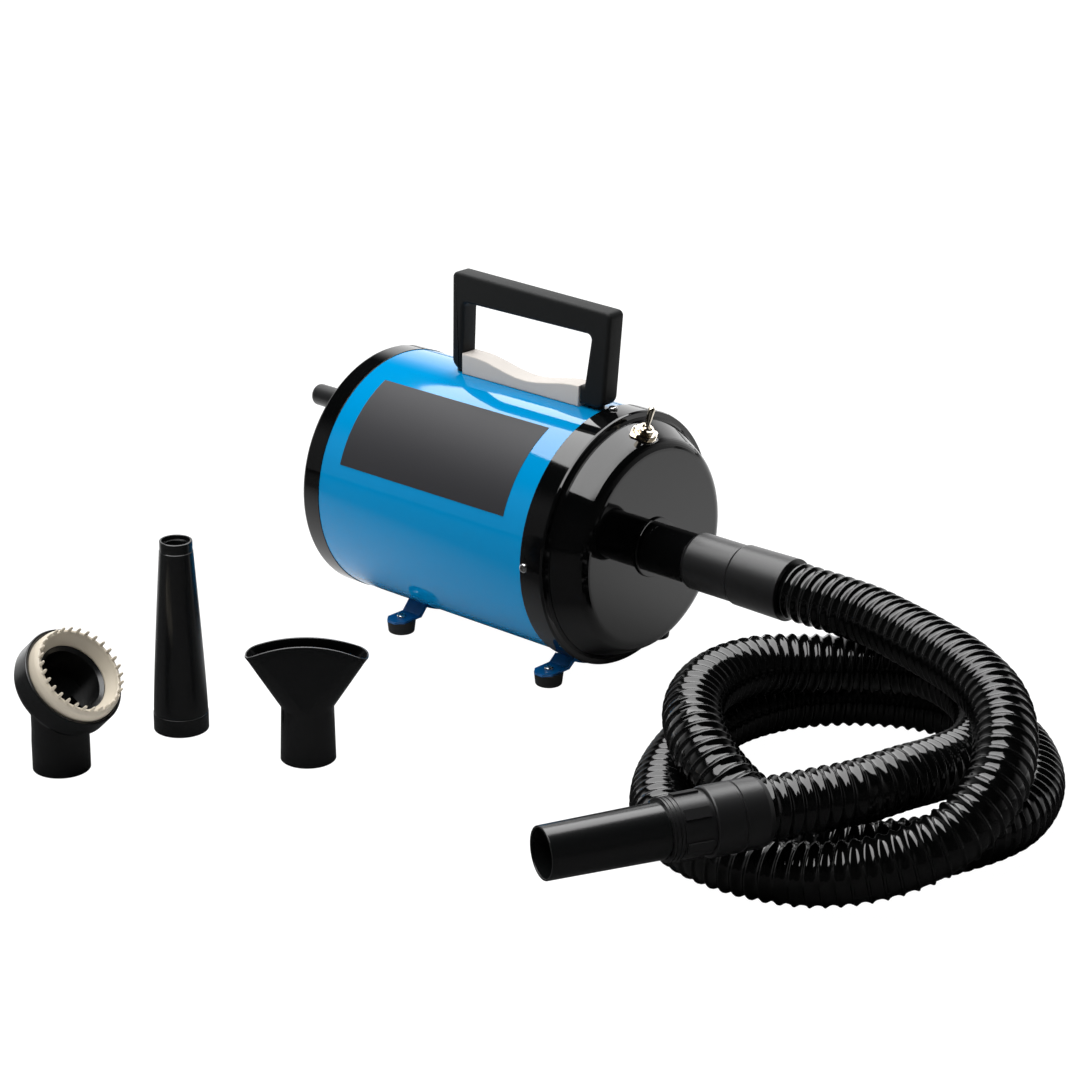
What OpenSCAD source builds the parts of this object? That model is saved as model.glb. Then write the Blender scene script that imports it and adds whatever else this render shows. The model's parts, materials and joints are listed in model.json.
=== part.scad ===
// Canister pet dryer with a ribbed hose and three loose air nozzles, in millimetres.
// Everything is drawn about the canister: its axis runs along +X, the middle of the blue
// tube is at x = 0 and the floor is z = 0. set_place() then shifts the whole set so that
// the middle of its footprint, hose left out, lies on the origin.

/* [Canister] */
// Outer radius of the blue tube
tube_r = 97.1; // [94:0.1:100]
// Wall of the blue tube
tube_wall = 1.2; // [0.8:0.1:2]
// Rear end of the blue tube
tube_rear_x = -105.7; // [-115:0.1:-104]
// Height of the canister's axis above the floor
axis_z = 105.2; // [105:0.1:110]
// Outer radius of the rear cap
rear_r = 97.6; // [97.4:0.1:101]
// Length of the rear cap that shows
rear_w = 18.1; // [17:0.1:24]

/* [Front dome] */
// Outer radius of the dome's band
band_r = 99.1; // [98.9:0.1:102]
// Rear edge of the dome's band
band_x = 105; // [104:0.5:107]
// Front face of the dome
face_x = 151.9; // [150:0.1:156]
// Lean of the dome's side from the axis, in degrees
dome_lean = 28; // [24:1:30]
// Radius of the dome's shoulder
shoulder_r = 10; // [6:0.5:14]
// Wall of the dome
dome_wall = 1.6; // [1.2:0.1:2]

/* [Outlet and hose] */
// Outer radius of the outlet pipe
pipe_r = 19.05; // [18:0.05:19.5]
// Wall of the outlet pipe
pipe_wall = 1.2; // [1:0.1:1.5]
// Free end of the outlet pipe
pipe_end_x = 228; // [220:1:232]
// Outer radius of the hose over its ribs
hose_r = 22; // [20:0.05:22.4]
// Depth of the groove between two ribs
rib_depth = 2.2; // [1:0.1:2.4]
// Distance from one rib to the next
rib_pitch = 12; // [12:0.5:16]
// Radius of the hose's bore
hose_bore_r = 17.2; // [15:0.1:17.4]

/* [Handle] */
// Width of the handle across the canister
handle_w = 17; // [14:0.5:24]
// Depth of the dip in the saddle's top
saddle_dip = 7.3; // [3:0.1:9]

/* [Feet] */
// Middle of the front foot strap
front_foot_x = 104.5; // [103:0.5:106]
// Middle of the rear foot strap
rear_foot_x = -49; // [-60:0.5:-45]
// Distance of each foot from the canister's middle plane
foot_y = 64; // [62:0.5:66]
// Height of a rubber foot
foot_h = 10; // [9:0.5:10.5]
// Width of a foot strap
strap_w = 18; // [14:0.5:20]
// Thickness of a foot strap
strap_t = 2; // [1.5:0.1:2]

/* [Toggle switch] */
// Lean of the switch's axis towards the front, in degrees
switch_lean = 28; // [24:1:30]
// Tilt of the lever to either side of the switch's axis, in degrees
lever_tilt = 12; // [8:1:13]
// Length of the lever above its pivot
lever_len = 19.4; // [16:0.2:22]

/* [Motor and fans] */
// Radius of the motor shaft
shaft_r = 5; // [4:0.1:6]
// Radius of an impeller
impeller_r = 62; // [55:0.5:68]
// Outer radius of the fan shell
fan_r = 72; // [70.5:0.5:74]
// Outer radius of the field core
field_r = 46; // [45:0.5:50]

/* [Nozzles] */
// Height of the cone nozzle
cone_h = 146.4; // [140:0.1:160]
// Outer radius of the cone nozzle's collar
cone_r = 20.1; // [19.5:0.1:21]
// Outer radius of the flare nozzle's base
flare_r = 20; // [19.5:0.1:21]
// Height of the middle of the flare nozzle's lips
flare_h = 89.5; // [86:0.5:94]
// Outer radius of the brush nozzle's spout
brush_r = 20.6; // [20:0.1:21]
// Tilt of the brush head from upright, in degrees
brush_tilt = 45; // [40:1:50]
// Outer radius of the brush head's cup
cup_r = 38.6; // [38:0.1:42]
// Number of fingers on the brush ring
finger_count = 30; // [24:1:40]

/* [Hidden] */
$fn = 72;

// Gap between a screw or lead and the hole it goes through.
play = 0.05;

// Canister.
tube_in = tube_r - tube_wall;
rear_x = tube_rear_x - rear_w;
rear_wall = 1.6;
intake_r = 62;
grille_t = 1.4;
band_w = 19.5;
lip_x = band_x + band_w;
tube_front_x = lip_x - 2;
groove_r = tube_r - 4.8;
groove_x = lip_x + 4.3;
dome_corner_r = groove_r - (face_x - groove_x) * tan(dome_lean);
dome_inner_corner_r = dome_corner_r - dome_wall * (1 / cos(dome_lean) - tan(dome_lean));

// Cord gland, on the rear cap.
gland_y = -48.6;
gland_z = 169;
gland_r = 8.5;
gland_len = 30.2;
gland_bore_r = 4;
gland_tip_x = rear_x - gland_len;

// Pan-head screws: shank radius, head radius and head height.
screw_r = 1.9;
screw_head_r = 3.6;
screw_head_h = 2.2;
band_screw_x = 109.5;
grille_screw_r = 65.5;

// Handle: x, z and corner radius of each corner of its outline.
leg_z = 204.7;
saddle_z = 218.3;
saddle_left = -36.3;
saddle_right = 82.5;
handle_outline = [[-47, leg_z, 8], [-46.7, 282.3, 4], [112.3, 280.4, 4], [106.5, leg_z, 9],
                  [saddle_right, leg_z, 0.6], [saddle_right, saddle_z + 0.2, 0.6],
                  [87.3, saddle_z + 0.6, 1], [93.7, 260.3, 4], [-34.9, 259.1, 4],
                  [saddle_left, saddle_z + 0.2, 0.6], [saddle_left, leg_z, 0.6]];
handle_bolt_x = [-41.7, 95];
bolt_r = 2.5;
bolt_top_z = 232;

// Switch: its axis crosses the dome's side at this point.
switch_x = 139.7;
switch_z = axis_z + groove_r - (switch_x - groove_x) * tan(dome_lean);
seat_h = -0.4;
seat_r = 12.5;
washer_t = 0.8;
nut_t = 2.7;
bushing_r = 6;
bushing_top = 6.4;
case_top = -4;
case_size = [17, 24, 20];
pivot_h = 4.4;
pivot_pin_r = 1;
pivot_pin_len = 9.2;

// Fans and motor, by their places along the canister's axis.
baffle_x = -90;
fan_x = -82;
fan_end_x = -26;
impeller_w = 12;
impeller_rear_x = -76;
impeller_front_x = -48;
eye_r = 22;
core_x = 2;
core_len = 40;
armature_r = 23.8;
coil_ring_r = 31;
coil_r = 5.5;
post_r = 3.5;
post_ring_r = 41.5;
bearing_r = 13;
bearing_w = 8;
rear_bearing_x = -22;
front_bearing_x = 84;
comm_r = 13;
comm_x = 56;
comm_len = 18;
brush_x = 65;
hub_r = 16;
cradle_x = 86;
lead_r = 2.2;

// Route of each motor lead, chosen by hand.
switch_tail = [124.7, 163.5];
lead_in_y = -50;
lead_in_z = 172;
lead_back_y = -56;
lead_back_z = 160;
lead_in = [[-114, gland_y, gland_z], [-96, lead_in_y, lead_in_z], [-60, lead_in_y, lead_in_z],
           [60, lead_in_y, lead_in_z], [100, lead_in_y, lead_in_z], [114, -32, 164],
           [switch_tail.x, -6, switch_tail.y]];
lead_out = [[switch_tail.x, 6, switch_tail.y], [116, 26, 152], [80, 36, 150], [70, 46, 122],
            [brush_x, 43, axis_z]];
lead_back = [[-114, gland_y + 5, gland_z - 5], [-96, lead_back_y, lead_back_z],
             [-60, lead_back_y, lead_back_z], [10, lead_back_y, lead_back_z],
             [40, lead_back_y, lead_back_z], [58, -52, 130], [brush_x, -43, axis_z]];

// Hose cuff, and the hose's route, chosen by hand: over the top, then two layers of loops.
cuff_x = 193;
cuff_step_x = 235.5;
cuff_end_x = 282;
floor_z = 22.5;
route = [[cuff_end_x, 0, axis_z], [302, 0, axis_z], [326, 0, axis_z], [350, -2, 105.5],
         [374, -8, 105.8], [416, -22, 106.5], [461, -40, 106.5], [502, -65, 103], [531, -97, 92.5],
         [546, -132, 75], [541, -170, 54], [515, -203, 37], [476, -227, 26], [431, -240, floor_z],
         [387, -241, floor_z], [347, -223, floor_z], [316, -188, floor_z], [293, -144, floor_z],
         [279, -97, floor_z], [276, -48, floor_z], [292, -1, floor_z], [327, 37, floor_z],
         [371, 58, floor_z], [418, 57, floor_z], [463, 34, floor_z], [502, -11, floor_z],
         [520, -63, floor_z], [513, -112, floor_z], [493, -154, floor_z], [457, -184, 25],
         [414, -198, 36], [370, -193, 51], [330, -170, 63], [301, -134, 67], [288, -91, 67],
         [292, -48, 64.3], [314, -13, 60.8], [347, 15, 61.3], [388, 26, 65], [430, 14, 63],
         [463, -16, 60], [482, -60, 59.5], [488, -110, 66], [487, -150, 72], [480, -187, 73],
         [470, -211, 73], [460, -233, 73], [450, -255, 73]];
route_steps = 8;
hose_sides = 8;
loop_apart = 110;
nozzle_start = route[len(route) - 1];
nozzle_yaw = atan2(nozzle_start.y - route[len(route) - 2].y,
                   nozzle_start.x - route[len(route) - 2].x);
nozzle_len = 154;
nozzle_cuff_len = 41;
nozzle_collar_end = 71;
nozzle_root_r = 18.7;
nozzle_tip_r = 17.7;
nozzle_wall = 1.7;

// Loose nozzles: where each stands on the floor, and which way it is turned.
cone_at = [-40.2, -306.4];
flare_at = [65.4, -281];
flare_turn = 41;
brush_at = [-52.2, -410.5];
brush_turn = 7.6;
spout_wall = 1.6;
brush_bore_r = 19;
collar_h = 13.5;
cone_neck_z = 138.6;
cone_neck_r = 12;
flare_base_h = 41;
flare_top = [47.5, 8.1, 97.5];
flare_arch_r = 102;
head_z = 58.2;
cup_back = 6;
cup_rim = 21.4;
cup_bore_r = 23;
ring_rim = 30;
finger_len = 5.2;

// Middle of the footprint, with the hose and what is on it left out.
brush_lean_y = sin(brush_tilt) * sin(brush_turn);
set_low_y = brush_at.y + cup_back * brush_lean_y - cup_r * sqrt(1 - brush_lean_y * brush_lean_y);
set_high_y = band_r + screw_head_h;
set_mid = [(gland_tip_x + pipe_end_x) / 2, (set_low_y + set_high_y) / 2];

// ---- Shared shapes ----

function unit(v) = v / norm(v);

// Points of the round corner at b, between the corners a and c.
function round_corner(a, b, c, r, n = 6) =
    let (u = unit(a - b), v = unit(c - b),
         half = acos(u * v) / 2,
         mid = b + unit(u + v) * r / sin(half),
         from = b + u * r / tan(half) - mid,
         to = b + v * r / tan(half) - mid,
         start = atan2(from.y, from.x),
         turn = (atan2(to.y, to.x) - start + 540) % 360 - 180)
    [for (k = [0:n]) mid + r * [cos(start + turn * k / n), sin(start + turn * k / n)]];

// Outline through the corners p, each given as x, y and its radius.
function rounded(p) =
    [for (i = [0:len(p) - 1])
        let (a = p[(i + len(p) - 1) % len(p)], b = p[i], c = p[(i + 1) % len(p)])
        each (b.z > 0 ? round_corner([a.x, a.y], [b.x, b.y], [c.x, c.y], b.z) : [[b.x, b.y]])];

module set_place() {
    translate([-set_mid.x, -set_mid.y, 0]) children();
}

// Puts +Z of its child along the canister's axis, starting at x.
module on_axis(x = 0) {
    translate([x, 0, axis_z]) rotate([0, 90, 0]) children();
}

// Turns its child, drawn with +Z outwards, about the canister's axis: 0 is the top, 90 is -Y.
module around(angle) {
    translate([0, 0, axis_z]) rotate([angle, 0, 0]) children();
}

// Solid of revolution: each corner is a radius, a place along the axis and a corner radius.
module turned(profile) {
    rotate_extrude() polygon(rounded(profile));
}

module tube(r_out, r_in, length) {
    difference() {
        cylinder(r = r_out, h = length);
        translate([0, 0, -1]) cylinder(r = r_in, h = length + 2);
    }
}

// Pan-head screw with a cross recess: its head sits on z = 0 and its shank points down.
module pan_screw(length, r = screw_r, head_r = screw_head_r, head_h = screw_head_h) {
    difference() {
        turned([[0, 0, 0], [head_r, 0, 0], [head_r, head_h, head_h * 0.7], [0, head_h, 0]]);
        for (a = [0, 90])
            rotate([0, 0, a + 20]) translate([-head_r * 0.55, -0.4, head_h - 1])
                cube([head_r * 1.1, 0.8, 2]);
    }
    translate([0, 0, -length]) cylinder(r = r, h = length + 0.1);
}

// Ring of n points around the point here, square to the direction along; up is never along it.
function ring(here, along, up, r, n) =
    let (side = unit(cross(along, up)), top = cross(side, along))
    [for (k = [0:n - 1]) let (a = k * 360 / n) here + r * (cos(a) * side + sin(a) * top)];

// Triangles between neighbouring rings of n points, which start at the point number first.
function band_faces(first, rings, n, flip) =
    [for (i = [0:rings - 2], k = [0:n - 1])
        let (a = first + i * n + k, b = first + i * n + (k + 1) % n, c = a + n, d = b + n)
        each (flip ? [[a, c, b], [b, c, d]] : [[a, b, c], [b, d, c]])];

// Point at the fraction t between p[i] and p[i + 1], on the smooth curve through all points.
function curve_point(p, i, t) =
    let (n = len(p) - 1,
         b = p[i], c = p[i + 1],
         a = i > 0 ? p[i - 1] : 2 * b - c,
         d = i < n - 1 ? p[i + 2] : 2 * c - b)
    (2 * b + (c - a) * t + (2 * a - 5 * b + 4 * c - d) * t * t
     + (3 * b - a - 3 * c + d) * t * t * t) / 2;

// Round wire of the radius r on the smooth curve through the points p, none of it along Y.
module wire(p, r) {
    steps = 6;
    n = 10;
    mids = [for (i = [0:len(p) - 2], k = [0:steps - 1]) curve_point(p, i, k / steps), p[len(p) - 1]];
    last = len(mids) - 1;
    rings = [for (i = [0:last])
                ring(mids[i], unit(mids[min(i + 1, last)] - mids[max(i - 1, 0)]), [0, 1, 0], r, n)];
    polyhedron(points = [for (a = rings) each a],
               faces = concat([[for (k = [n - 1:-1:0]) k]], band_faces(0, len(rings), n, false),
                              [[for (k = [0:n - 1]) last * n + k]]));
}

// ---- Canister ----

module handle_bolt_holes(z) {
    for (x = handle_bolt_x)
        translate([x, 0, z]) cylinder(r = bolt_r + play, h = bolt_top_z - z);
}

module band_screw_holes() {
    for (a = [0:90:270])
        around(a) translate([band_screw_x, 0, tube_r - 10]) cylinder(r = screw_r + play, h = 20);
}

module body_shell() {
    color([0.02, 0.58, 0.84]) difference() {
        on_axis(tube_rear_x) tube(tube_r, tube_in, tube_front_x - tube_rear_x);
        band_screw_holes();
        handle_bolt_holes(axis_z);
        around(180) translate([rear_foot_x, 0, tube_r - 10]) cylinder(r = screw_r + play, h = 20);
    }
}

module rear_cap() {
    spigot_r = tube_in - 1.5;
    spigot_x = tube_rear_x + 8;
    color([0.05, 0.05, 0.05]) difference() {
        on_axis() turned([[rear_r, tube_rear_x, 0.3], [rear_r, rear_x, 3], [intake_r, rear_x, 0.3],
                          [intake_r, rear_x + rear_wall, 0.3], [spigot_r, rear_x + rear_wall, 1],
                          [spigot_r, spigot_x, 0.3], [tube_in, spigot_x, 0.3],
                          [tube_in, tube_rear_x, 0]]);
        translate([rear_x - 1, gland_y, gland_z]) rotate([0, 90, 0])
            cylinder(r = gland_r - 2.5 + play, h = 4);
        grille_screw_holes();
    }
}

module grille_screw_holes() {
    for (a = [45:90:315])
        around(a) translate([rear_x - 3, 0, grille_screw_r]) rotate([0, 90, 0])
            cylinder(r = 1.5 + play, h = 8);
}

// Slotted guard screwed over the intake, on the rear cap's outside.
module intake_grille() {
    slot_pitch = 10;
    slot_w = 5.5;
    slot_end_r = 57;
    spine_w = 5;
    color([0.08, 0.08, 0.08]) difference() {
        on_axis(rear_x - grille_t) cylinder(r = intake_r + 7, h = grille_t);
        on_axis(rear_x - grille_t - 1) for (i = [-5:5])
            for (side = [-1, 1]) {
                reach = sqrt(slot_end_r * slot_end_r - pow(i * slot_pitch, 2)) - spine_w / 2;
                translate([side * (spine_w + reach) / 2, i * slot_pitch, (grille_t + 2) / 2])
                    cube([reach, slot_w, grille_t + 2], center = true);
            }
        grille_screw_holes();
    }
}

module grille_screws() {
    color([0.75, 0.75, 0.73]) for (a = [45:90:315])
        around(a) translate([rear_x - grille_t, 0, grille_screw_r]) rotate([0, -90, 0])
            pan_screw(4.5, 1.5, 2.8, 1.8);
}

module filter_foam() {
    color([0.25, 0.25, 0.27]) on_axis(rear_x) cylinder(r = intake_r - 0.5, h = 12);
}

module front_dome() {
    lip_r = band_r - 0.8;
    web_r = groove_r - 0.9;
    color([0.04, 0.04, 0.04]) difference() {
        on_axis() turned([[band_r, band_x, 0.3], [band_r, lip_x, 1], [lip_r, lip_x + 1.8, 0.8],
                          [lip_r - 3.8, lip_x + 1.8, 0.7], [groove_r, lip_x + 3, 0.5],
                          [groove_r, groove_x, 0.3], [dome_corner_r, face_x, shoulder_r],
                          [pipe_r + play, face_x, 0], [pipe_r + play, face_x - dome_wall, 0],
                          [dome_inner_corner_r, face_x - dome_wall, shoulder_r - dome_wall],
                          [web_r, groove_x - 1.8, 0.4], [web_r, tube_front_x, 0],
                          [tube_r, tube_front_x, 0], [tube_r, band_x, 0]]);
        band_screw_holes();
        switch_axis() translate([0, 0, -8]) cylinder(r = bushing_r + play, h = 16);
        switch_axis() translate([0, 0, seat_h]) cylinder(r = seat_r - play, h = 5);
    }
}

// Three screws hold the dome's band, one more holds the front strap too, and one the rear strap.
module body_screws() {
    color([0.8, 0.8, 0.78]) {
        for (a = [0:90:270])
            around(a) translate([band_screw_x, 0, a == 180 ? band_r + strap_t : band_r])
                pan_screw(9);
        around(180) translate([rear_foot_x, 0, tube_r + strap_t]) pan_screw(8);
    }
}

// Blank plate, bent round the tube's near side.
module label_plate() {
    label_x = -87;
    label_len = 169;
    label_top = 25;
    label_bottom = 71;
    color([0.2, 0.2, 0.21]) on_axis(label_x) rotate([0, 0, 180 + label_top])
        rotate_extrude(angle = label_bottom - label_top)
            translate([tube_r, 0]) square([0.3, label_len]);
}

// ---- Handle ----

module handle() {
    color([0.12, 0.12, 0.12]) difference() {
        rotate([90, 0, 0]) linear_extrude(height = handle_w, center = true)
            polygon(rounded(handle_outline));
        handle_bolt_holes(leg_z - 1);
    }
}

// Grey block between the legs: dipped on top and hollowed to the tube below.
module handle_saddle() {
    dip_from = saddle_left + 10;
    dip_to = saddle_right - 2;
    dip = [for (k = [12:-1:0])
        [dip_from + (dip_to - dip_from) * k / 12, saddle_z - saddle_dip * (1 - cos(30 * k)) / 2]];
    color([0.78, 0.74, 0.71]) difference() {
        rotate([90, 0, 0]) linear_extrude(height = handle_w, center = true)
            polygon(concat([[saddle_left, axis_z + 90], [saddle_right, axis_z + 90],
                            [saddle_right, saddle_z]], dip, [[saddle_left, saddle_z]]));
        on_axis(saddle_left - 1) cylinder(r = tube_r, h = saddle_right - saddle_left + 2);
        for (x = [saddle_left + 5, saddle_right - 6], side = [-1, 1])
            translate([x, side * handle_w / 2, saddle_z - 4.5]) rotate([90, 0, 0])
                cylinder(r = 0.8, h = 1, center = true, $fn = 16);
    }
}

module handle_spacers() {
    crown_z = axis_z + tube_r;
    color([0.1, 0.1, 0.1]) for (x = handle_bolt_x)
        translate([x, 0, crown_z]) tube(5, bolt_r + play, leg_z - crown_z);
}

module handle_bolts() {
    head_z = axis_z + sqrt(tube_in * tube_in - 36) - 0.1;
    color([0.7, 0.7, 0.7]) for (x = handle_bolt_x) {
        translate([x, 0, head_z]) cylinder(r = bolt_r, h = bolt_top_z - 0.5 - head_z);
        translate([x, 0, head_z - 3.5]) cylinder(r = 6, h = 3.6);
    }
}

// ---- Feet ----

// Height of the underside of a cylinder about the canister's axis, y away from the middle.
function under(r, y) = axis_z - sqrt(r * r - y * y);

// Strap bent round the underside, with a level ear over each foot.
module foot_strap(x, r_in) {
    bend_y = 46;
    ear_y = 52.5;
    ear_end = 76;
    outer = r_in + strap_t;
    color([0.03, 0.25, 0.5]) difference() {
        union() {
            translate([x - strap_w / 2, 0, 0]) rotate([90, 0, 90]) linear_extrude(height = strap_w) {
                intersection() {
                    translate([0, axis_z]) difference() {
                        circle(r = outer);
                        circle(r = r_in);
                    }
                    translate([-bend_y, 0]) square([2 * bend_y, axis_z / 2]);
                }
                for (side = [-1, 1])
                    polygon([for (p = [[bend_y - 1.6, under(outer, bend_y - 1.6)],
                                       [ear_y - 2, foot_h], [ear_y + 0.6, foot_h],
                                       [ear_y + 0.6, foot_h + strap_t],
                                       [bend_y + 0.2, under(r_in, bend_y)],
                                       [bend_y - 1.6, under(r_in, bend_y - 1.6)]])
                             [side * p.x, p.y]]);
            }
            for (side = [-1, 1])
                translate([x, 0, foot_h]) linear_extrude(height = strap_t)
                    polygon([for (p = [[-strap_w / 2, ear_y], [strap_w / 2, ear_y],
                                       [strap_w / 2, ear_end - 6], [strap_w / 2 - 5, ear_end],
                                       [5 - strap_w / 2, ear_end], [-strap_w / 2, ear_end - 6]])
                             [p.x, side * p.y]]);
        }
        for (side = [-1, 1])
            translate([x, side * foot_y, foot_h - 1]) cylinder(r = screw_r + play, h = strap_t + 2);
        around(180) translate([x > 0 ? band_screw_x : x, 0, r_in - 1])
            cylinder(r = screw_r + play, h = strap_t + 2);
    }
}

module front_foot_strap() foot_strap(front_foot_x, band_r);

module rear_foot_strap() foot_strap(rear_foot_x, tube_r);

module rubber_foot(x, side) {
    color([0.03, 0.03, 0.03]) translate([x, side * foot_y, 0]) difference() {
        turned([[0, 0, 0], [10.2, 0, 1.5], [11.3, foot_h, 0.5], [0, foot_h, 0]]);
        translate([0, 0, 3.4]) cylinder(r = screw_r + play, h = foot_h);
    }
}

module foot_front_near() rubber_foot(front_foot_x, -1);

module foot_front_far() rubber_foot(front_foot_x, 1);

module foot_rear_near() rubber_foot(rear_foot_x, -1);

module foot_rear_far() rubber_foot(rear_foot_x, 1);

module foot_screws() {
    color([0.8, 0.8, 0.78]) for (x = [front_foot_x, rear_foot_x], side = [-1, 1])
        translate([x, side * foot_y, foot_h + strap_t]) pan_screw(8);
}

// ---- Rear gland, outlet and switch ----

module cord_gland() {
    neck_r = gland_r - 2.5;
    color([0.07, 0.07, 0.07]) translate([rear_x, gland_y, gland_z]) rotate([0, -90, 0])
        turned([[gland_bore_r, -5, 0], [gland_r - 1, -5, 0.5], [gland_r - 1, -rear_wall, 0],
                [neck_r, -rear_wall, 0], [neck_r, 0, 0], [gland_r, 0, 0],
                [gland_r, gland_len, 3.5], [gland_bore_r, gland_len, 0.4]]);
}

module outlet_ring() {
    ring_r = 23.25;
    ring_w = 2.1;
    color([0.04, 0.04, 0.04]) on_axis()
        turned([[pipe_r + play, face_x, 0], [ring_r, face_x, 0.6], [ring_r, face_x + ring_w, 0.9],
                [pipe_r + play, face_x + ring_w, 0]]);
}

// The pipe is held by a flange against the inside of the dome's face.
module outlet_pipe() {
    inner_x = face_x - dome_wall;
    bore_r = pipe_r - pipe_wall;
    color([0.04, 0.04, 0.04]) on_axis()
        turned([[bore_r, inner_x - 1.6, 0], [pipe_r + 6, inner_x - 1.6, 0.4],
                [pipe_r + 6, inner_x, 0], [pipe_r, inner_x, 0], [pipe_r, pipe_end_x, 0.4],
                [bore_r, pipe_end_x, 0.4]]);
}

// Switch frame: +Z is the switch's axis and z = 0 is the dome's side.
module switch_axis() {
    translate([switch_x, 0, switch_z]) rotate([0, switch_lean, 0]) children();
}

module switch_case() {
    blade_h = 7;
    color([0.1, 0.1, 0.1]) switch_axis() translate([0, 0, case_top - case_size.z]) {
        translate([-case_size.x / 2, -case_size.y / 2, 0]) cube(case_size);
        for (y = [-6, 6])
            translate([-2.5, y - 0.5, 0.1 - blade_h]) cube([5, 1, blade_h]);
    }
}

module toggle_bushing() {
    color([0.75, 0.74, 0.7]) switch_axis() difference() {
        turned([[3.7, case_top, 0], [bushing_r, case_top, 0], [bushing_r, bushing_top, 0.6],
                [3.7, bushing_top, 0.3]]);
        pivot_pin(pivot_pin_r + play, pivot_pin_len + 0.2);
    }
}

// Keyed washer with a tab towards the tube.
module toggle_washer() {
    color([0.72, 0.7, 0.65]) switch_axis() translate([0, 0, seat_h]) difference() {
        hull() {
            cylinder(r = 9.8, h = washer_t);
            rotate([0, 0, -13]) translate([-1, -13, 0]) cube([2, 26, washer_t]);
        }
        translate([0, 0, -1]) cylinder(r = bushing_r, h = washer_t + 2);
    }
}

module toggle_nut() {
    nut_across = 16;
    color([0.78, 0.76, 0.72]) switch_axis() translate([0, 0, seat_h + washer_t]) difference() {
        cylinder(r = nut_across / sqrt(3), h = nut_t, $fn = 6);
        translate([0, 0, -1]) cylinder(r = bushing_r, h = nut_t + 2);
    }
}

// Cross pin that the lever tips on, in the switch frame.
module pivot_pin(r, length) {
    translate([0, 0, pivot_h]) rotate([90, 0, 0]) cylinder(r = r, h = length, center = true);
}

// The lever rests tipped to the front; its ball and cross pin sit inside the bushing.
module toggle_lever() {
    tip_r = 2.9;
    color([0.78, 0.76, 0.72]) switch_axis() {
        translate([0, 0, pivot_h]) rotate([0, -lever_tilt, 0]) {
            sphere(r = 3.2);
            turned([[0, 0, 0], [1.8, 0, 0], [tip_r, lever_len, 2.2], [0, lever_len, 0]]);
            translate([0, 0, -7]) cylinder(r = 1.2, h = 7);
        }
        pivot_pin(pivot_pin_r, pivot_pin_len);
    }
}

// ---- Air path and fans ----

// Wall between the intake and the fans, with a hole for each lead that passes.
module baffle_plate() {
    color([0.5, 0.5, 0.5]) difference() {
        on_axis(baffle_x) tube(tube_in - 0.1, 50, 2);
        lead_holes(baffle_x - 1, [[lead_in_y, lead_in_z], [lead_back_y, lead_back_z]]);
    }
}

module lead_holes(x, places) {
    for (p = places)
        translate([x, p.x, p.y]) rotate([0, 90, 0]) cylinder(r = lead_r + 0.8, h = 6);
}

module fan_gasket() {
    color([0.05, 0.05, 0.05]) on_axis(baffle_x + 2) tube(66, 52, fan_x - baffle_x - 2);
}

module fan_shell() {
    wall = 1.2;
    color([0.62, 0.62, 0.6]) on_axis()
        turned([[eye_r, fan_x, 0], [fan_r, fan_x, 4], [fan_r, fan_end_x, 0],
                [fan_r - wall, fan_end_x, 0], [fan_r - wall, fan_x + wall, 2.8],
                [eye_r, fan_x + wall, 0]]);
}

// Curved vanes, standing on z = 0, between two radii.
module vanes(count, r_in, r_out, height) {
    sweep_r = 40;
    sweep_at = 36;
    linear_extrude(height = height) for (k = [0:count - 1])
        rotate(k * 360 / count) intersection() {
            translate([0, sweep_at]) difference() {
                circle(r = sweep_r + 0.6);
                circle(r = sweep_r - 0.6);
            }
            difference() {
                circle(r = r_out);
                circle(r = r_in);
            }
            translate([0, -r_out]) square([r_out, 2 * r_out]);
        }
}

// Closed impeller: shroud with its eye, vanes, back plate and hub.
module impeller() {
    shroud_t = 1;
    plate_t = 1.2;
    hub = 9;
    color([0.72, 0.72, 0.74]) difference() {
        union() {
            tube(impeller_r, eye_r, shroud_t);
            translate([0, 0, shroud_t - 0.1])
                vanes(8, eye_r + 1, impeller_r - 1, impeller_w - shroud_t - plate_t + 0.2);
            translate([0, 0, impeller_w - plate_t]) cylinder(r = impeller_r, h = plate_t);
            cylinder(r = hub, h = impeller_w);
        }
        translate([0, 0, -1]) cylinder(r = shaft_r, h = impeller_w + 2);
    }
}

module impeller_rear() on_axis(impeller_rear_x) impeller();

module impeller_front() on_axis(impeller_front_x) impeller();

module impeller_spacer() {
    from = impeller_rear_x + impeller_w;
    color([0.7, 0.7, 0.7]) on_axis(from) tube(8, shaft_r, impeller_front_x - from);
}

module impeller_nut() {
    nut_t = 5;
    color([0.6, 0.6, 0.6]) on_axis(impeller_rear_x - nut_t) difference() {
        cylinder(r = 9.8, h = nut_t, $fn = 6);
        translate([0, 0, -1]) cylinder(r = shaft_r, h = nut_t + 2);
    }
}

// Fixed return guide between the two impellers.
module diffuser() {
    guide_x = -60;
    guide_w = 9;
    color([0.66, 0.66, 0.66]) on_axis(guide_x) difference() {
        union() {
            cylinder(r = fan_r - 1.2, h = 1.4);
            translate([0, 0, 1.3]) vanes(9, 20, fan_r - 3, guide_w - 1.3);
        }
        translate([0, 0, -1]) cylinder(r = 14, h = guide_w + 2);
    }
}

// ---- Motor ----

module motor_shaft() {
    collar_from = impeller_front_x + impeller_w;
    color([0.75, 0.75, 0.76]) on_axis()
        turned([[0, fan_x, 0], [shaft_r, fan_x, 0.6], [shaft_r, collar_from, 0],
                [shaft_r + 2, collar_from, 0], [shaft_r + 2, rear_bearing_x - 1, 0],
                [shaft_r, rear_bearing_x - 1, 0], [shaft_r, 94, 0.6], [0, 94, 0]]);
}

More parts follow.
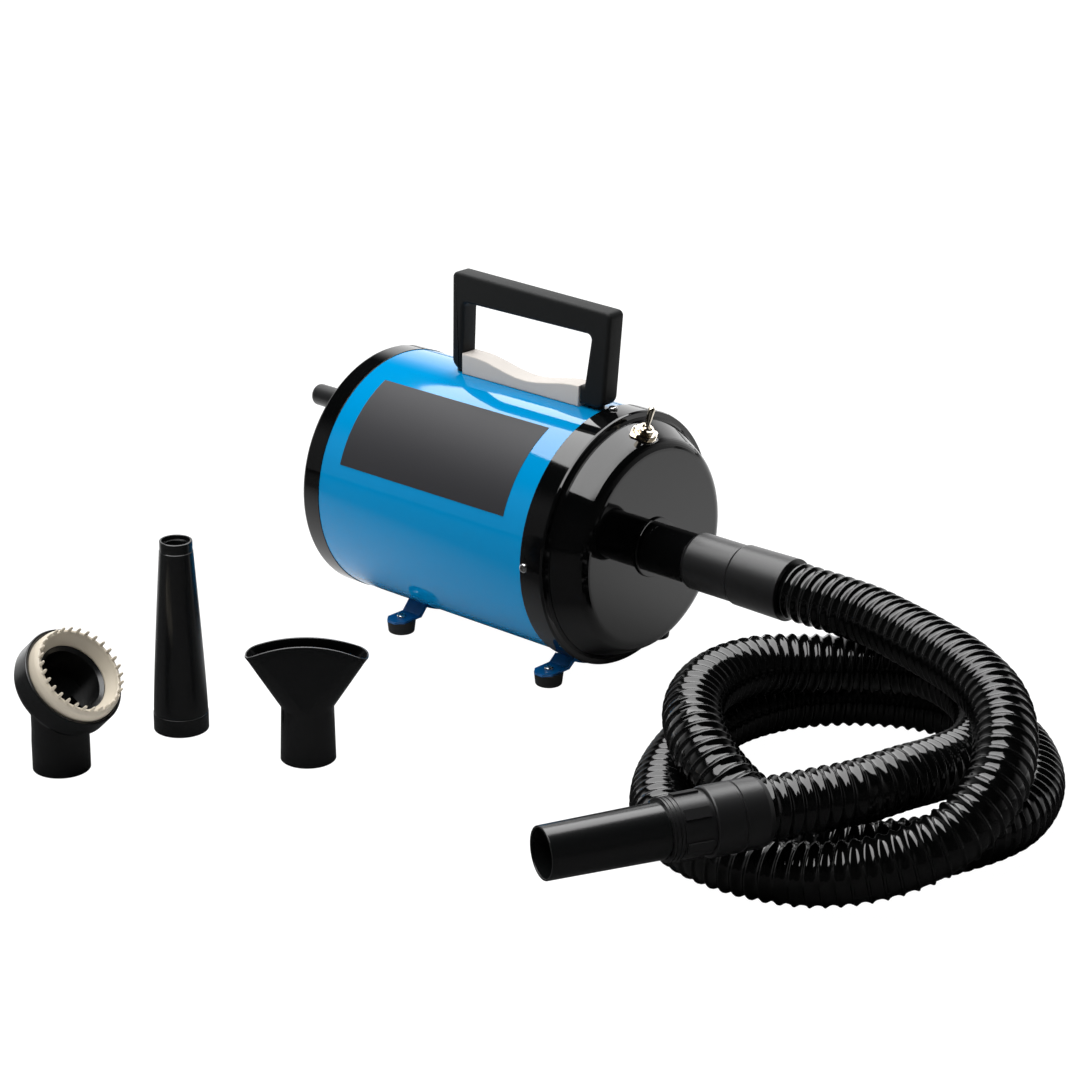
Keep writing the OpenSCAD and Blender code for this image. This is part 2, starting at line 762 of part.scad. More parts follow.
module armature_core() {
    color([0.42, 0.42, 0.44]) on_axis(core_x) linear_extrude(height = core_len) difference() {
        circle(r = armature_r);
        circle(r = shaft_r);
        for (k = [0:11]) rotate(k * 30) {
            translate([19, 0]) circle(r = 2.4);
            translate([19, -0.7]) square([6, 1.4]);
        }
    }
}

module armature_windings() {
    end_w = 8;
    color([0.72, 0.4, 0.2]) {
        for (x = [core_x - end_w, core_x + core_len])
            on_axis(x) turned([[shaft_r, 0, 0], [21.5, 0, 3], [21.5, end_w, 3], [shaft_r, end_w, 0]]);
        on_axis(core_x - 1) for (k = [0:11])
            rotate([0, 0, k * 30]) translate([19, 0, 0])
                cylinder(r = 2.3, h = core_len + 2, $fn = 24);
    }
}

module commutator() {
    bars = 16;
    color([0.78, 0.45, 0.25]) on_axis(comm_x) linear_extrude(height = comm_len) difference() {
        circle(r = comm_r);
        circle(r = shaft_r);
        for (k = [0:bars - 1]) rotate(k * 360 / bars) translate([comm_r - 1.2, -0.3]) square([2, 0.6]);
    }
}

// Angles of the four coil slots, two beside each pole.
slot_angles = [-48, 48, 132, 228];

module field_core() {
    color([0.45, 0.45, 0.47]) on_axis(core_x) linear_extrude(height = core_len) difference() {
        circle(r = field_r);
        circle(r = armature_r + 0.6);
        for (a = slot_angles) rotate(a) translate([coil_ring_r, 0]) circle(r = coil_r + play);
    }
}

module field_coils() {
    end_w = 9;
    over_angle = 11;
    color([0.75, 0.43, 0.22]) on_axis(core_x) {
        for (a = slot_angles) rotate([0, 0, a]) translate([coil_ring_r, 0, -end_w / 2])
            cylinder(r = coil_r, h = core_len + end_w);
        for (a = [slot_angles[0], slot_angles[2]], z = [-end_w - 0.5, core_len + 0.5])
            translate([0, 0, z]) rotate([0, 0, a - over_angle])
                rotate_extrude(angle = 96 + 2 * over_angle)
                    translate([coil_ring_r - coil_r - 0.4, 0]) square([2 * coil_r + 0.8, end_w]);
    }
}

// Cover of the fan shell: it carries the rear bearing and, on four posts, the field core.
module rear_end_frame() {
    plate_t = 3;
    hub_len = 12;
    color([0.68, 0.68, 0.68]) on_axis(fan_end_x) difference() {
        union() {
            cylinder(r = fan_r, h = plate_t);
            cylinder(r = hub_r + 2, h = hub_len);
            for (a = [0:90:270]) rotate([0, 0, a]) translate([post_ring_r, 0, 0])
                cylinder(r = post_r, h = core_x - fan_end_x);
        }
        translate([0, 0, -1]) cylinder(r = shaft_r + 2.5, h = hub_len + 2);
        translate([0, 0, rear_bearing_x - fan_end_x]) cylinder(r = bearing_r, h = hub_len);
        for (a = [22.5:45:360]) rotate([0, 0, a]) translate([57, 0, -1])
            cylinder(r = 9, h = plate_t + 2);
    }
}

module bearing() {
    color([0.7, 0.7, 0.72]) difference() {
        cylinder(r = bearing_r, h = bearing_w);
        translate([0, 0, -1]) cylinder(r = shaft_r + 0.03, h = bearing_w + 2);
    }
}

module rear_bearing() on_axis(rear_bearing_x) bearing();

module front_bearing() on_axis(front_bearing_x) bearing();

// Ring on the field core, four rods, and a plate with the front bearing's hub.
module front_end_frame() {
    ring_x = core_x + core_len;
    plate_x = 78;
    hub_end = 97;
    color([0.68, 0.68, 0.68]) difference() {
        union() {
            on_axis(ring_x) tube(field_r, field_r - 8, 4);
            on_axis(plate_x) cylinder(r = field_r, h = 4);
            on_axis(plate_x) cylinder(r = hub_r, h = hub_end - plate_x);
            on_axis(ring_x) for (a = [0:90:270]) rotate([0, 0, a + 45])
                translate([post_ring_r, 0, 0]) cylinder(r = post_r, h = plate_x - ring_x + 1);
            for (side = [-1, 1])
                translate([brush_x + 5, side * 31 - 7, axis_z - 4.5])
                    cube([plate_x - brush_x - 4, 14, 9]);
        }
        on_axis(plate_x - 1) cylinder(r = shaft_r + 1, h = 18);
        on_axis(front_bearing_x) cylinder(r = bearing_r, h = bearing_w);
        on_axis(plate_x - 1) for (a = [22.5:45:360]) rotate([0, 0, a])
            translate([28, 0, 0]) cylinder(r = 6, h = 6);
    }
}

module brush_holders() {
    color([0.8, 0.62, 0.3]) for (side = [-1, 1])
        translate([brush_x, side * 28, axis_z]) difference() {
            cube([10, 24, 8], center = true);
            translate([0, -side * 2, 0]) cube([8.1, 24, 6.1], center = true);
        }
}

module carbon_brushes() {
    color([0.15, 0.15, 0.16]) difference() {
        for (side = [-1, 1])
            translate([brush_x, side * 21, axis_z]) cube([8, 20, 6], center = true);
        on_axis(brush_x - 10) cylinder(r = comm_r + 0.08, h = 20);
    }
}

module mount_rubber() {
    color([0.05, 0.05, 0.05]) on_axis(front_bearing_x) tube(hub_r + 8, hub_r, 11);
}

// Plate across the tube that holds the motor's front end in its rubber ring.
module motor_cradle() {
    color([0.5, 0.5, 0.5]) difference() {
        union() {
            on_axis(front_bearing_x) tube(hub_r + 11, hub_r + 8, 11);
            on_axis(cradle_x) tube(tube_in - 0.1, hub_r + 9, 2.5);
        }
        on_axis(cradle_x - 1) for (a = [30:60:330])
            rotate([0, 0, a]) translate([60, 0, 0]) cylinder(r = 21, h = 6);
        lead_holes(cradle_x - 2, [[lead_in_y, lead_in_z]]);
    }
}

module motor_leads() {
    color([0.12, 0.12, 0.12]) {
        wire(lead_in, lead_r);
        wire(lead_out, lead_r);
        wire(lead_back, lead_r);
    }
}

// ---- Hose ----

module hose_cuff() {
    small_r = 21.75;
    big_r = 23.5;
    bore_r = 18;
    color([0.14, 0.14, 0.14]) on_axis()
        turned([[pipe_r + play, cuff_x, 0], [pipe_r + 1, cuff_x, 0.6], [small_r, cuff_x + 3, 2],
                [small_r, cuff_step_x, 1], [big_r - 0.6, cuff_step_x + 2, 1],
                [big_r, cuff_end_x, 0.8], [bore_r, cuff_end_x, 0], [bore_r, pipe_end_x + 0.1, 0],
                [pipe_r + play, pipe_end_x + 0.1, 0]]);
}

// The curve as fine steps, none lower than a hose lying on the floor.
fine = [for (i = [0:len(route) - 2], k = [0:route_steps - 1])
            let (q = curve_point(route, i, k / route_steps)) [q.x, q.y, max(q.z, hose_r)],
        nozzle_start];

// Length from the start to each fine step.
function lengths(p, i = 0, sum = 0, done = []) =
    i == len(p) ? done
    : let (next = i == 0 ? 0 : sum + norm(p[i] - p[i - 1])) lengths(p, i + 1, next, concat(done, next));

fine_len = lengths(fine);
hose_len = fine_len[len(fine_len) - 1];
by_x = [for (i = [0:len(fine) - 1]) [fine_len[i], fine[i].x]];
by_y = [for (i = [0:len(fine) - 1]) [fine_len[i], fine[i].y]];
by_z = [for (i = [0:len(fine) - 1]) [fine_len[i], fine[i].z]];

function at_length(s) = [lookup(s, by_x), lookup(s, by_y), lookup(s, by_z)];

// One ring of the hose, square to the route at the length s; the hose never stands upright.
function hose_ring(s, r) =
    ring(at_length(s), unit(at_length(min(s + 3, hose_len)) - at_length(max(s - 3, 0))),
         [0, 0, 1], r, hose_sides);

rib_count = round(hose_len / rib_pitch);
half_rib = hose_len / rib_count / 2;

// Outer rings alternate rib and groove; the bore's rings are four half ribs apart.
skin = [for (i = [0:2 * rib_count]) hose_ring(i * half_rib, hose_r - (i % 2) * rib_depth)];
bore_count = floor(rib_count / 2);
bore = [for (i = [0:bore_count]) hose_ring(hose_len * i / bore_count, hose_bore_r)];

// Triangles of a flat end, from the skin's ring at s0 to the bore's ring at b0.
function end_faces(s0, b0, flip) =
    [for (k = [0:hose_sides - 1])
        let (a = s0 + k, b = s0 + (k + 1) % hose_sides, c = b0 + k, d = b0 + (k + 1) % hose_sides)
        each (flip ? [[a, c, b], [b, c, d]] : [[a, b, c], [b, d, c]])];

module hose() {
    bore_first = len(skin) * hose_sides;
    points = [for (ring = concat(skin, bore)) each ring];
    faces = concat(band_faces(0, len(skin), hose_sides, false),
                   band_faces(bore_first, len(bore), hose_sides, true),
                   end_faces(0, bore_first, true),
                   end_faces((len(skin) - 1) * hose_sides,
                             bore_first + (len(bore) - 1) * hose_sides, false));
    color([0.06, 0.06, 0.06]) polyhedron(points = points, faces = faces);
    apart = ceil(loop_apart / half_rib);
    mids = [for (i = [0:2 * rib_count]) at_length(i * half_rib)];
    least = min([for (i = [0:len(mids) - 1 - apart]) for (k = [i + apart:len(mids) - 1])
                    norm(mids[i] - mids[k])]);
    echo(hose_length = hose_len, ribs = rib_count, least_gap = least - 2 * hose_r);
}

// Frame of the hose's far fittings: +Z runs on from the end of the hose.
module nozzle_frame() {
    translate(nozzle_start) rotate([0, 0, nozzle_yaw]) rotate([0, 90, 0]) children();
}

module nozzle_cuff() {
    r = 23.4;
    bore_r = 18;
    color([0.1, 0.1, 0.1]) nozzle_frame()
        turned([[bore_r, 0, 0], [r - 1.5, 0, 1], [r, 4, 1.5], [r, 19.4, 0], [r - 0.8, 20, 0],
                [r - 0.8, 21, 0], [r, 21.6, 0], [r, nozzle_cuff_len, 1.5],
                [bore_r, nozzle_cuff_len, 0]]);
}

// Smaller collar with three grooves and six raised ridges.
module nozzle_collar() {
    r = 20.9;
    seat = nozzle_cuff_len + 2;
    color([0.1, 0.1, 0.1]) nozzle_frame() difference() {
        union() {
            translate([0, 0, nozzle_cuff_len])
                cylinder(r = r, h = nozzle_collar_end - nozzle_cuff_len);
            for (k = [0:5])
                rotate([0, 0, 60 * k + 15]) translate([r - 2, -3.5, nozzle_cuff_len + 3])
                    cube([3.1, 7, 18]);
        }
        translate([0, 0, nozzle_cuff_len - 1]) cylinder(r = 16.5, h = 4);
        translate([0, 0, seat]) cylinder(r = nozzle_root_r, h = 40);
        for (k = [0:2])
            translate([0, 0, nozzle_collar_end - 8 + 3 * k]) tube(r + 1, r - 0.5, 0.8);
    }
}

module nozzle_tube() {
    seat = nozzle_cuff_len + 2;
    color([0.09, 0.09, 0.09]) nozzle_frame()
        turned([[nozzle_root_r - nozzle_wall, seat, 0], [nozzle_root_r, seat, 0.4],
                [nozzle_root_r, nozzle_collar_end, 0], [nozzle_tip_r, nozzle_len, 0.6],
                [nozzle_tip_r - nozzle_wall, nozzle_len, 0.6]]);
}

// ---- Loose nozzles ----

// Radius of the cone nozzle's body, from 0 at its collar to 1 at its neck.
function cone_body_r(t) = cone_r - 0.3 - (cone_r - cone_neck_r - 0.7) * pow(t, 1.2);

module cone_nozzle() {
    steps = 8;
    wall = spout_wall;
    outer = [for (k = [0:steps])
        [cone_body_r(k / steps), collar_h + (cone_neck_z - collar_h) * k / steps, 0]];
    inner = [for (k = [steps:-1:0])
        [cone_body_r(k / steps) - wall, collar_h + (cone_neck_z - collar_h) * k / steps, 0]];
    color([0.05, 0.05, 0.05]) translate(cone_at)
        turned(concat([[cone_r - wall, 0, 0], [cone_r, 0, 0.5], [cone_r, collar_h, 0.3]], outer,
                      [[cone_neck_r, cone_neck_z + 0.6, 0], [cone_neck_r, cone_h, 0.6],
                       [cone_neck_r - wall, cone_h, 0.4]],
                      inner, [[cone_r - wall, collar_h - 2, 0]]));
}

// Fan-shaped solid from the base's top to the lips; less is the wall taken off all round.
module fan_body(less) {
    hull() {
        translate([0, 0, flare_base_h - 0.5]) cylinder(r = flare_r - 1.1 - less, h = 0.5, $fn = 32);
        for (side = [-1, 1])
            translate([side * flare_top.x, 0, flare_top.z])
                cylinder(r = flare_top.y - less, h = 0.5, $fn = 32);
    }
}

module flare_nozzle() {
    color([0.06, 0.06, 0.06]) translate(flare_at) rotate([0, 0, flare_turn]) difference() {
        union() {
            turned([[flare_r - spout_wall, 0, 0], [flare_r, 0, 0.5],
                    [flare_r - 1.1, flare_base_h, 0], [flare_r - 1.1 - spout_wall, flare_base_h, 0]]);
            intersection() {
                difference() {
                    fan_body(0);
                    translate([0, 0, -0.2]) fan_body(spout_wall);
                    translate([0, 0, 0.2]) fan_body(spout_wall);
                }
                translate([0, 0, flare_h - flare_arch_r]) rotate([90, 0, 0])
                    cylinder(r = flare_arch_r, h = 60, center = true);
            }
        }
        translate([0, -flare_r, 14.2]) rotate([90, 0, 0]) cylinder(r = 1.6, h = 8, center = true);
    }
}

module brush_place() {
    translate(brush_at) rotate([0, 0, brush_turn]) children();
}

// Head frame: +Z is the way the brush faces.
module brush_axis() {
    brush_place() translate([0, 0, head_z]) rotate([0, brush_tilt, 0]) children();
}

// Upright spout under a tilted cup; the comb ring sits in the groove of the cup's face.
module brush_head() {
    lip_r = 26;
    seat = 13;
    spigot_h = 22;
    color([0.05, 0.05, 0.05]) difference() {
        union() {
            brush_place() turned([[0, 0, 0], [brush_r, 0, 0.5], [brush_r, spigot_h, 0.2],
                                  [brush_r - 0.4, spigot_h + 9, 0], [brush_r - 0.4, head_z - 4, 0],
                                  [0, head_z - 4, 0]]);
            brush_axis() turned([[0, -20, 0], [12, -18.5, 4], [22, -11.5, 6], [31, -2.8, 6],
                                 [37, 2.6, 0], [cup_r, cup_back, 0], [cup_r, cup_rim, 0.8],
                                 [36.9, cup_rim, 0.3], [35.5, cup_rim - 1, 0], [35.5, seat, 0],
                                 [lip_r, seat, 0], [lip_r, cup_rim - 1, 0.4],
                                 [cup_bore_r, cup_rim - 4, 0.4], [cup_bore_r, 10, 0], [0, 10, 0]]);
        }
        brush_place() translate([0, 0, -1]) cylinder(r = brush_bore_r, h = 40);
        brush_axis() translate([0, 0, -4]) cylinder(r = cup_bore_r, h = 40);
        brush_place() translate([0, 0, 39]) cylinder(r1 = brush_bore_r, r2 = 12, h = 12);
        brush_axis() translate([0, 0, seat]) tube(35.5, lip_r, 20);
    }
}

module brush_ring() {
    seat = 13;
    rim_in = 30.8;
    rim_out = 33.2;
    color([0.9, 0.87, 0.8]) brush_axis() {
        turned([[26.1, seat, 0], [35.4, seat, 0], [35.4, cup_rim, 0.4], [rim_out, ring_rim, 0.3],
                [rim_in, ring_rim, 0.3], [26.1, cup_rim - 0.8, 0.4]]);
        for (k = [0:finger_count - 1])
            rotate([0, 0, k * 360 / finger_count]) translate([rim_in + 0.2, -1.2, ring_rim - 0.5])
                cube([2, 2.4, finger_len + 0.5]);
    }
}

// ---- The set ----

set_place() {
    body_shell();
    rear_cap();
    intake_grille();
    grille_screws();
    filter_foam();
    front_dome();
    body_screws();
    label_plate();
    handle();
    handle_saddle();
    handle_spacers();
    handle_bolts();
    front_foot_strap();
    rear_foot_strap();
    foot_front_near();
    foot_front_far();
    foot_rear_near();
    foot_rear_far();
    foot_screws();
    cord_gland();
    outlet_ring();
    outlet_pipe();
    switch_case();
    toggle_bushing();
    toggle_washer();
    toggle_nut();
    toggle_lever();
    baffle_plate();
    fan_gasket();
    fan_shell();
    diffuser();
    impeller_rear();
    impeller_front();
    impeller_spacer();
    impeller_nut();
    motor_shaft();
    armature_core();
    armature_windings();
    commutator();
    field_core();
    field_coils();
    rear_end_frame();
    front_end_frame();
    rear_bearing();
    front_bearing();
    brush_holders();
    carbon_brushes();
    mount_rubber();
    motor_cradle();
    motor_leads();
    hose_cuff();
    hose();
    nozzle_cuff();
    nozzle_collar();
    nozzle_tube();
    cone_nozzle();
    flare_nozzle();
    brush_head();
    brush_ring();
}
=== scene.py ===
# %% [markdown]
# # Dressing a pet dryer
# A canister dryer is a motor and two fans in a steel tube. It blows warm air down a ribbed hose. The CAD
# model already holds every part at its real size, so this lesson only adds what CAD leaves out: soft
# edges, moulded grain, gloss, rubber and the fine form of the hose. We begin by loading that frame.

# %% Load the fixed frame
import json
import math

import bmesh
import bpy
import numpy as np
from mathutils import Matrix


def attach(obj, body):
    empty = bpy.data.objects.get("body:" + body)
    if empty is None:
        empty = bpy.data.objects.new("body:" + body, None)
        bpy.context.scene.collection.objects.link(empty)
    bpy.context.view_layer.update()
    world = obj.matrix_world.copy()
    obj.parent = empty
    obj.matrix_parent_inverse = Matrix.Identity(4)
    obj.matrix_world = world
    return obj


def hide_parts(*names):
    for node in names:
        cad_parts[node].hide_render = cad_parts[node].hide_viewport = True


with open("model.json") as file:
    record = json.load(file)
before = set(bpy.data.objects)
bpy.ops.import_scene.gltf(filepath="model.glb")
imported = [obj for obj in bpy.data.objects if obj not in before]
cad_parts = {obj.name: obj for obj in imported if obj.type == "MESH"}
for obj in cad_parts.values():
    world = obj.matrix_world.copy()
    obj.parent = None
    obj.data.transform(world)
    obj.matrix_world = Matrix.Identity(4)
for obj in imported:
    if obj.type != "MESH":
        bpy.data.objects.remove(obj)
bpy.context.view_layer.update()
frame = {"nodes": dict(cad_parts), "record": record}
nodes = frame["nodes"]

# %% [markdown]
# ## One ruler for everything
# Small parts are easier to think about in millimetres from the dryer's own axis, where X runs along the
# canister to its outlet and Z is height. The frame is in metres and has its origin in the middle of the
# whole set, so every new mesh goes through one function that shifts and scales its points.

# %% Millimetres from the dryer to metres in the frame
SET_MIDDLE = np.array([37.0, -173.5349, 0.0])
AXIS_Z = 105.2


def placed(points):
    """Points in the frame: (point - middle of the set) / 1000."""
    return (np.asarray(points, float) - SET_MIDDLE) / 1000


# %% [markdown]
# ## The camera
# The view is a long lens from the front right, a little above the dryer. A long lens keeps the two ends
# of the canister nearly the same size. The camera is placed by its azimuth, its height and a slight
# roll about the point it looks at, so the numbers stay readable.

# %% Camera
VIEW_AZIMUTH, VIEW_ELEVATION, VIEW_ROLL = math.radians(41.0324), math.radians(20.8324), math.radians(0.6398)
VIEW_TARGET = np.array([38.535, 0.0, 81.252])
VIEW_DISTANCE = 2479.29
LENS_PER_FRAME = 3200 / 1080


def make_camera():
    """Camera axes: back = (sin a cos e, -cos a cos e, sin e), right is level, both turned by the roll."""
    a, e, r = VIEW_AZIMUTH, VIEW_ELEVATION, VIEW_ROLL
    back = np.array([math.sin(a) * math.cos(e), -math.cos(a) * math.cos(e), math.sin(e)])
    level = np.array([math.cos(a), math.sin(a), 0.0])
    top = np.cross(back, level)
    right = math.cos(r) * level + math.sin(r) * top
    up = math.cos(r) * top - math.sin(r) * level
    data = bpy.data.cameras.new("view")
    data.sensor_width = 36.0
    data.lens = 36.0 * LENS_PER_FRAME
    data.clip_start, data.clip_end = 0.05, 50.0
    camera = bpy.data.objects.new("view", data)
    bpy.context.scene.collection.objects.link(camera)
    matrix = np.eye(4)
    matrix[:3, :3] = np.column_stack([right, up, back])
    matrix[:3, 3] = placed(VIEW_TARGET + VIEW_DISTANCE * back)
    camera.matrix_world = Matrix(matrix)
    bpy.context.scene.camera = camera
    print("camera", VIEW_DISTANCE / 1000, "m away, lens", round(data.lens, 1), "mm")


make_camera()

# %% [markdown]
# ## Surfaces from numpy
# A surface is a grid of points with rows and columns. Neighbouring points share faces, and either
# direction may close on itself. One function turns any such grid into a mesh, so each piece below is
# only the formula for its grid.


# %% Grids and meshes
def grid_faces(rows, columns, close_rows=False, close_columns=True):
    """Four-sided faces between neighbours: (i, k), (i, k+1), (i+1, k+1), (i+1, k)."""
    i = np.arange(rows if close_rows else rows - 1)[:, None]
    k = np.arange(columns if close_columns else columns - 1)[None, :]
    below, right = (i + 1) % rows, (k + 1) % columns
    corners = [i * columns + k, i * columns + right, below * columns + right, below * columns + k]
    return np.stack(np.broadcast_arrays(*corners), -1).reshape(-1, 4)


def add_piece(name, points, faces, sharp=30.0):
    """Mesh object from points in dryer millimetres; edges bent more than sharp degrees stay crisp."""
    mesh = bpy.data.meshes.new(name)
    mesh.from_pydata(placed(points), [], faces)
    mesh.shade_smooth()
    mesh.set_sharp_from_angle(angle=math.radians(sharp))
    piece = bpy.data.objects.new(name, mesh)
    bpy.context.scene.collection.objects.link(piece)
    print(name, len(mesh.vertices), "points,", len(mesh.polygons), "faces")
    return piece


# %% [markdown]
# ## The hose
# The real hose is a glossy film wound round a spring wire, so its ribs are one long screw thread, not
# separate rings. Where the hose is straight every rib is round. On the outside of a bend the film is
# pulled flat between two turns, and only a narrow ridge stays. The route is drawn point by point: out of
# the canister, down to the floor, then two loops on top of each other.

# %% The hose's route from the dryer, typed in metres and kept in millimetres
HOSE_ROUTE = np.array([
    (.282, 0, .1052), (.302, 0, .1052), (.326, 0, .1052), (.35, -.002, .1055), (.374, -.008, .1058),
    (.416, -.022, .1065), (.461, -.04, .1065), (.502, -.065, .103), (.531, -.097, .0925),
    (.546, -.132, .075), (.541, -.17, .054), (.515, -.203, .037), (.476, -.227, .026),
    (.431, -.24, .0225), (.387, -.241, .0225), (.347, -.223, .0225), (.316, -.188, .0225),
    (.293, -.144, .0225), (.279, -.097, .0225), (.276, -.048, .0225), (.292, -.001, .0225),
    (.327, .037, .0225), (.371, .058, .0225), (.418, .057, .0225), (.463, .034, .0225),
    (.502, -.011, .0225), (.52, -.063, .0225), (.513, -.112, .0225), (.493, -.154, .0225),
    (.457, -.184, .025), (.414, -.198, .036), (.37, -.193, .051), (.33, -.17, .063), (.301, -.134, .067),
    (.288, -.091, .067), (.292, -.048, .0643), (.314, -.013, .0608), (.347, .015, .0613),
    (.388, .026, .065), (.43, .014, .063), (.463, -.016, .06), (.482, -.06, .0595), (.488, -.11, .066),
    (.487, -.15, .072), (.48, -.187, .073), (.47, -.211, .073), (.46, -.233, .073), (.45, -.255, .073),
]) * 1000
HOSE_R = 21.8
HOSE_BORE_R = 18.0
RIB_PITCH = 9.2
SLOPE_REACH = 3.0


def smooth_route(route, steps):
    """Catmull-Rom curve: a cubic between neighbouring points whose ends share the slope (next - last) / 2."""
    p = np.vstack([2 * route[0] - route[1], route, 2 * route[-1] - route[-2]])
    a, b, c, d = (p[k:len(route) - 1 + k, None] for k in range(4))
    t = (np.arange(steps) / steps)[None, :, None]
    curve = (2 * b + (c - a) * t + (2 * a - 5 * b + 4 * c - d) * t**2 + (3 * b - a - 3 * c + d) * t**3) / 2
    curve = np.vstack([curve.reshape(-1, 3), route[-1]])
    curve[:, 2] = np.maximum(curve[:, 2], HOSE_R)
    return curve


def along(curve, s):
    """Points at the lengths s of a curve, and the unit direction there, over a short reach to each side."""
    run = np.append(0, np.cumsum(np.linalg.norm(np.diff(curve, axis=0), axis=1)))

    def at(x):
        return np.stack([np.interp(x, run, curve[:, k]) for k in range(3)], -1)

    direction = at(np.minimum(s + SLOPE_REACH, run[-1])) - at(np.maximum(s - SLOPE_REACH, 0))
    return at(s), direction / np.linalg.norm(direction, axis=-1, keepdims=True)


hose_curve = smooth_route(HOSE_ROUTE, 30)
hose_length = np.linalg.norm(np.diff(hose_curve, axis=0), axis=1).sum()
print("the hose is", round(hose_length / 1000, 3), "m long")

# %% [markdown]
# The grid of the hose is skewed: column k starts a little further along than column k - 1, and after
# one turn the columns meet again one whole rib later. That way the mesh lines run along the thread and
# the narrow ridge stays clean. A flat ring closes each end, and a plain inner tube gives it a wall.

# %% Ribbed hose
RIB_SHAPE = np.array([  # share of the pitch, height above the groove where slack and where taut
    (0.0, 0.0, 0.65), (0.17, 0.5, 0.58), (0.28, 1.2, 0.4), (0.35, 1.75, 0.3), (0.4, 2.06, 0.95),
    (0.45, 2.25, 1.95), (0.5, 2.3, 2.3), (0.55, 2.25, 1.95), (0.6, 2.06, 0.95), (0.65, 1.75, 0.3),
    (0.72, 1.2, 0.4), (0.83, 0.5, 0.58)])
RIB_DEPTH = 2.3
RIB_FADE = 5.0
HOSE_SIDES = 32
BEND_REACH = 15.0
TAUT_FROM, TAUT_SPAN = 0.1, 0.06


def spokes(s, angle):
    """Centre at the length s, and the unit spoke cos angle side + sin angle top, with side level."""
    centre, direction = along(hose_curve, s)
    side = np.cross(direction, [0, 0, 1])
    side /= np.linalg.norm(side, axis=-1, keepdims=True)
    top = np.cross(side, direction)
    return centre, np.cos(angle)[..., None] * side + np.sin(angle)[..., None] * top


def stretched(s, spoke):
    """0 where slack to 1 where taut: smoothstep of (stretch - from) / span, with stretch = -R bend . spoke.

    The bend is the change of direction per mm, over the bend reach to each side.
    """
    ahead = along(hose_curve, np.minimum(s + BEND_REACH, hose_length))[1]
    behind = along(hose_curve, np.maximum(s - BEND_REACH, 0))[1]
    bend = (ahead - behind) / (2 * BEND_REACH)
    t = np.clip((-HOSE_R * (bend * spoke).sum(-1) - TAUT_FROM) / TAUT_SPAN, 0, 1)
    return t * t * (3 - 2 * t)


def ribbed_hose():
    """Radius = groove radius + fade * rib height at the phase s / pitch - angle / full turn, slack to taut.

    Points before the start or past the end are pulled onto the end ring and merged there.
    """
    turns = np.arange(-1, math.ceil(hose_length / RIB_PITCH) + 1)
    k = np.arange(HOSE_SIDES)[None, :]
    start = (turns[:, None] + RIB_SHAPE[None, :, 0]).reshape(-1, 1) * RIB_PITCH
    s = np.clip(start + RIB_PITCH * k / HOSE_SIDES, 0, hose_length)
    fade = np.clip(np.minimum(s, hose_length - s) / RIB_FADE, 0, 1)
    centre, spoke = spokes(s, 2 * np.pi * k / HOSE_SIDES + 0 * s)
    slack, taut = np.tile(RIB_SHAPE[:, 1:].T, len(turns))[..., None]
    radius = HOSE_R - RIB_DEPTH + fade * (slack + (taut - slack) * stretched(s, spoke))
    skin = centre + radius[..., None] * spoke
    rows = len(start)
    i = np.arange(rows - len(RIB_SHAPE) - 1)
    last, first = i * HOSE_SIDES + HOSE_SIDES - 1, (i + len(RIB_SHAPE)) * HOSE_SIDES
    seam = np.stack([last, first, first + HOSE_SIDES, last + HOSE_SIDES], -1)
    bore_rows = len(turns)
    bore_s = np.linspace(0, hose_length, bore_rows)[:, None] + 0.0 * k
    centre, spoke = spokes(bore_s, 2 * np.pi * k / HOSE_SIDES + 0 * bore_s)
    bore = centre + HOSE_BORE_R * spoke
    after = rows * HOSE_SIDES
    ends = []
    for outer, inner, step in ((0, after, 1), (after - HOSE_SIDES, after + (bore_rows - 1) * HOSE_SIDES, -1)):
        here, there = np.arange(HOSE_SIDES), (np.arange(HOSE_SIDES) + 1) % HOSE_SIDES
        ends.append(np.stack([outer + here, inner + here, inner + there, outer + there], -1)[:, ::-step])
    faces = np.vstack([grid_faces(rows, HOSE_SIDES, close_columns=False), seam,
                       grid_faces(bore_rows, HOSE_SIDES)[:, ::-1] + after, *ends])
    return np.vstack([skin.reshape(-1, 3), bore.reshape(-1, 3)]), faces


def merged(piece, gap=1e-6):
    """Points closer together than gap become one, so seams and poles close."""
    mesh = bmesh.new()
    mesh.from_mesh(piece.data)
    bmesh.ops.remove_doubles(mesh, verts=mesh.verts, dist=gap)
    bmesh.ops.recalc_face_normals(mesh, faces=mesh.faces)
    mesh.to_mesh(piece.data)
    mesh.free()
    return piece


hose = merged(add_piece("ribbed_hose", *ribbed_hose(), sharp=180))
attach(hose, "dryer")
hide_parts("hose")

# %% [markdown]
# ## Helpers for turned and cut shapes
# Most parts of a dryer are turned, moulded round a circle, or cut from a profile. A profile is a list of
# corners, each with its own corner radius, because real edges are never sharp.


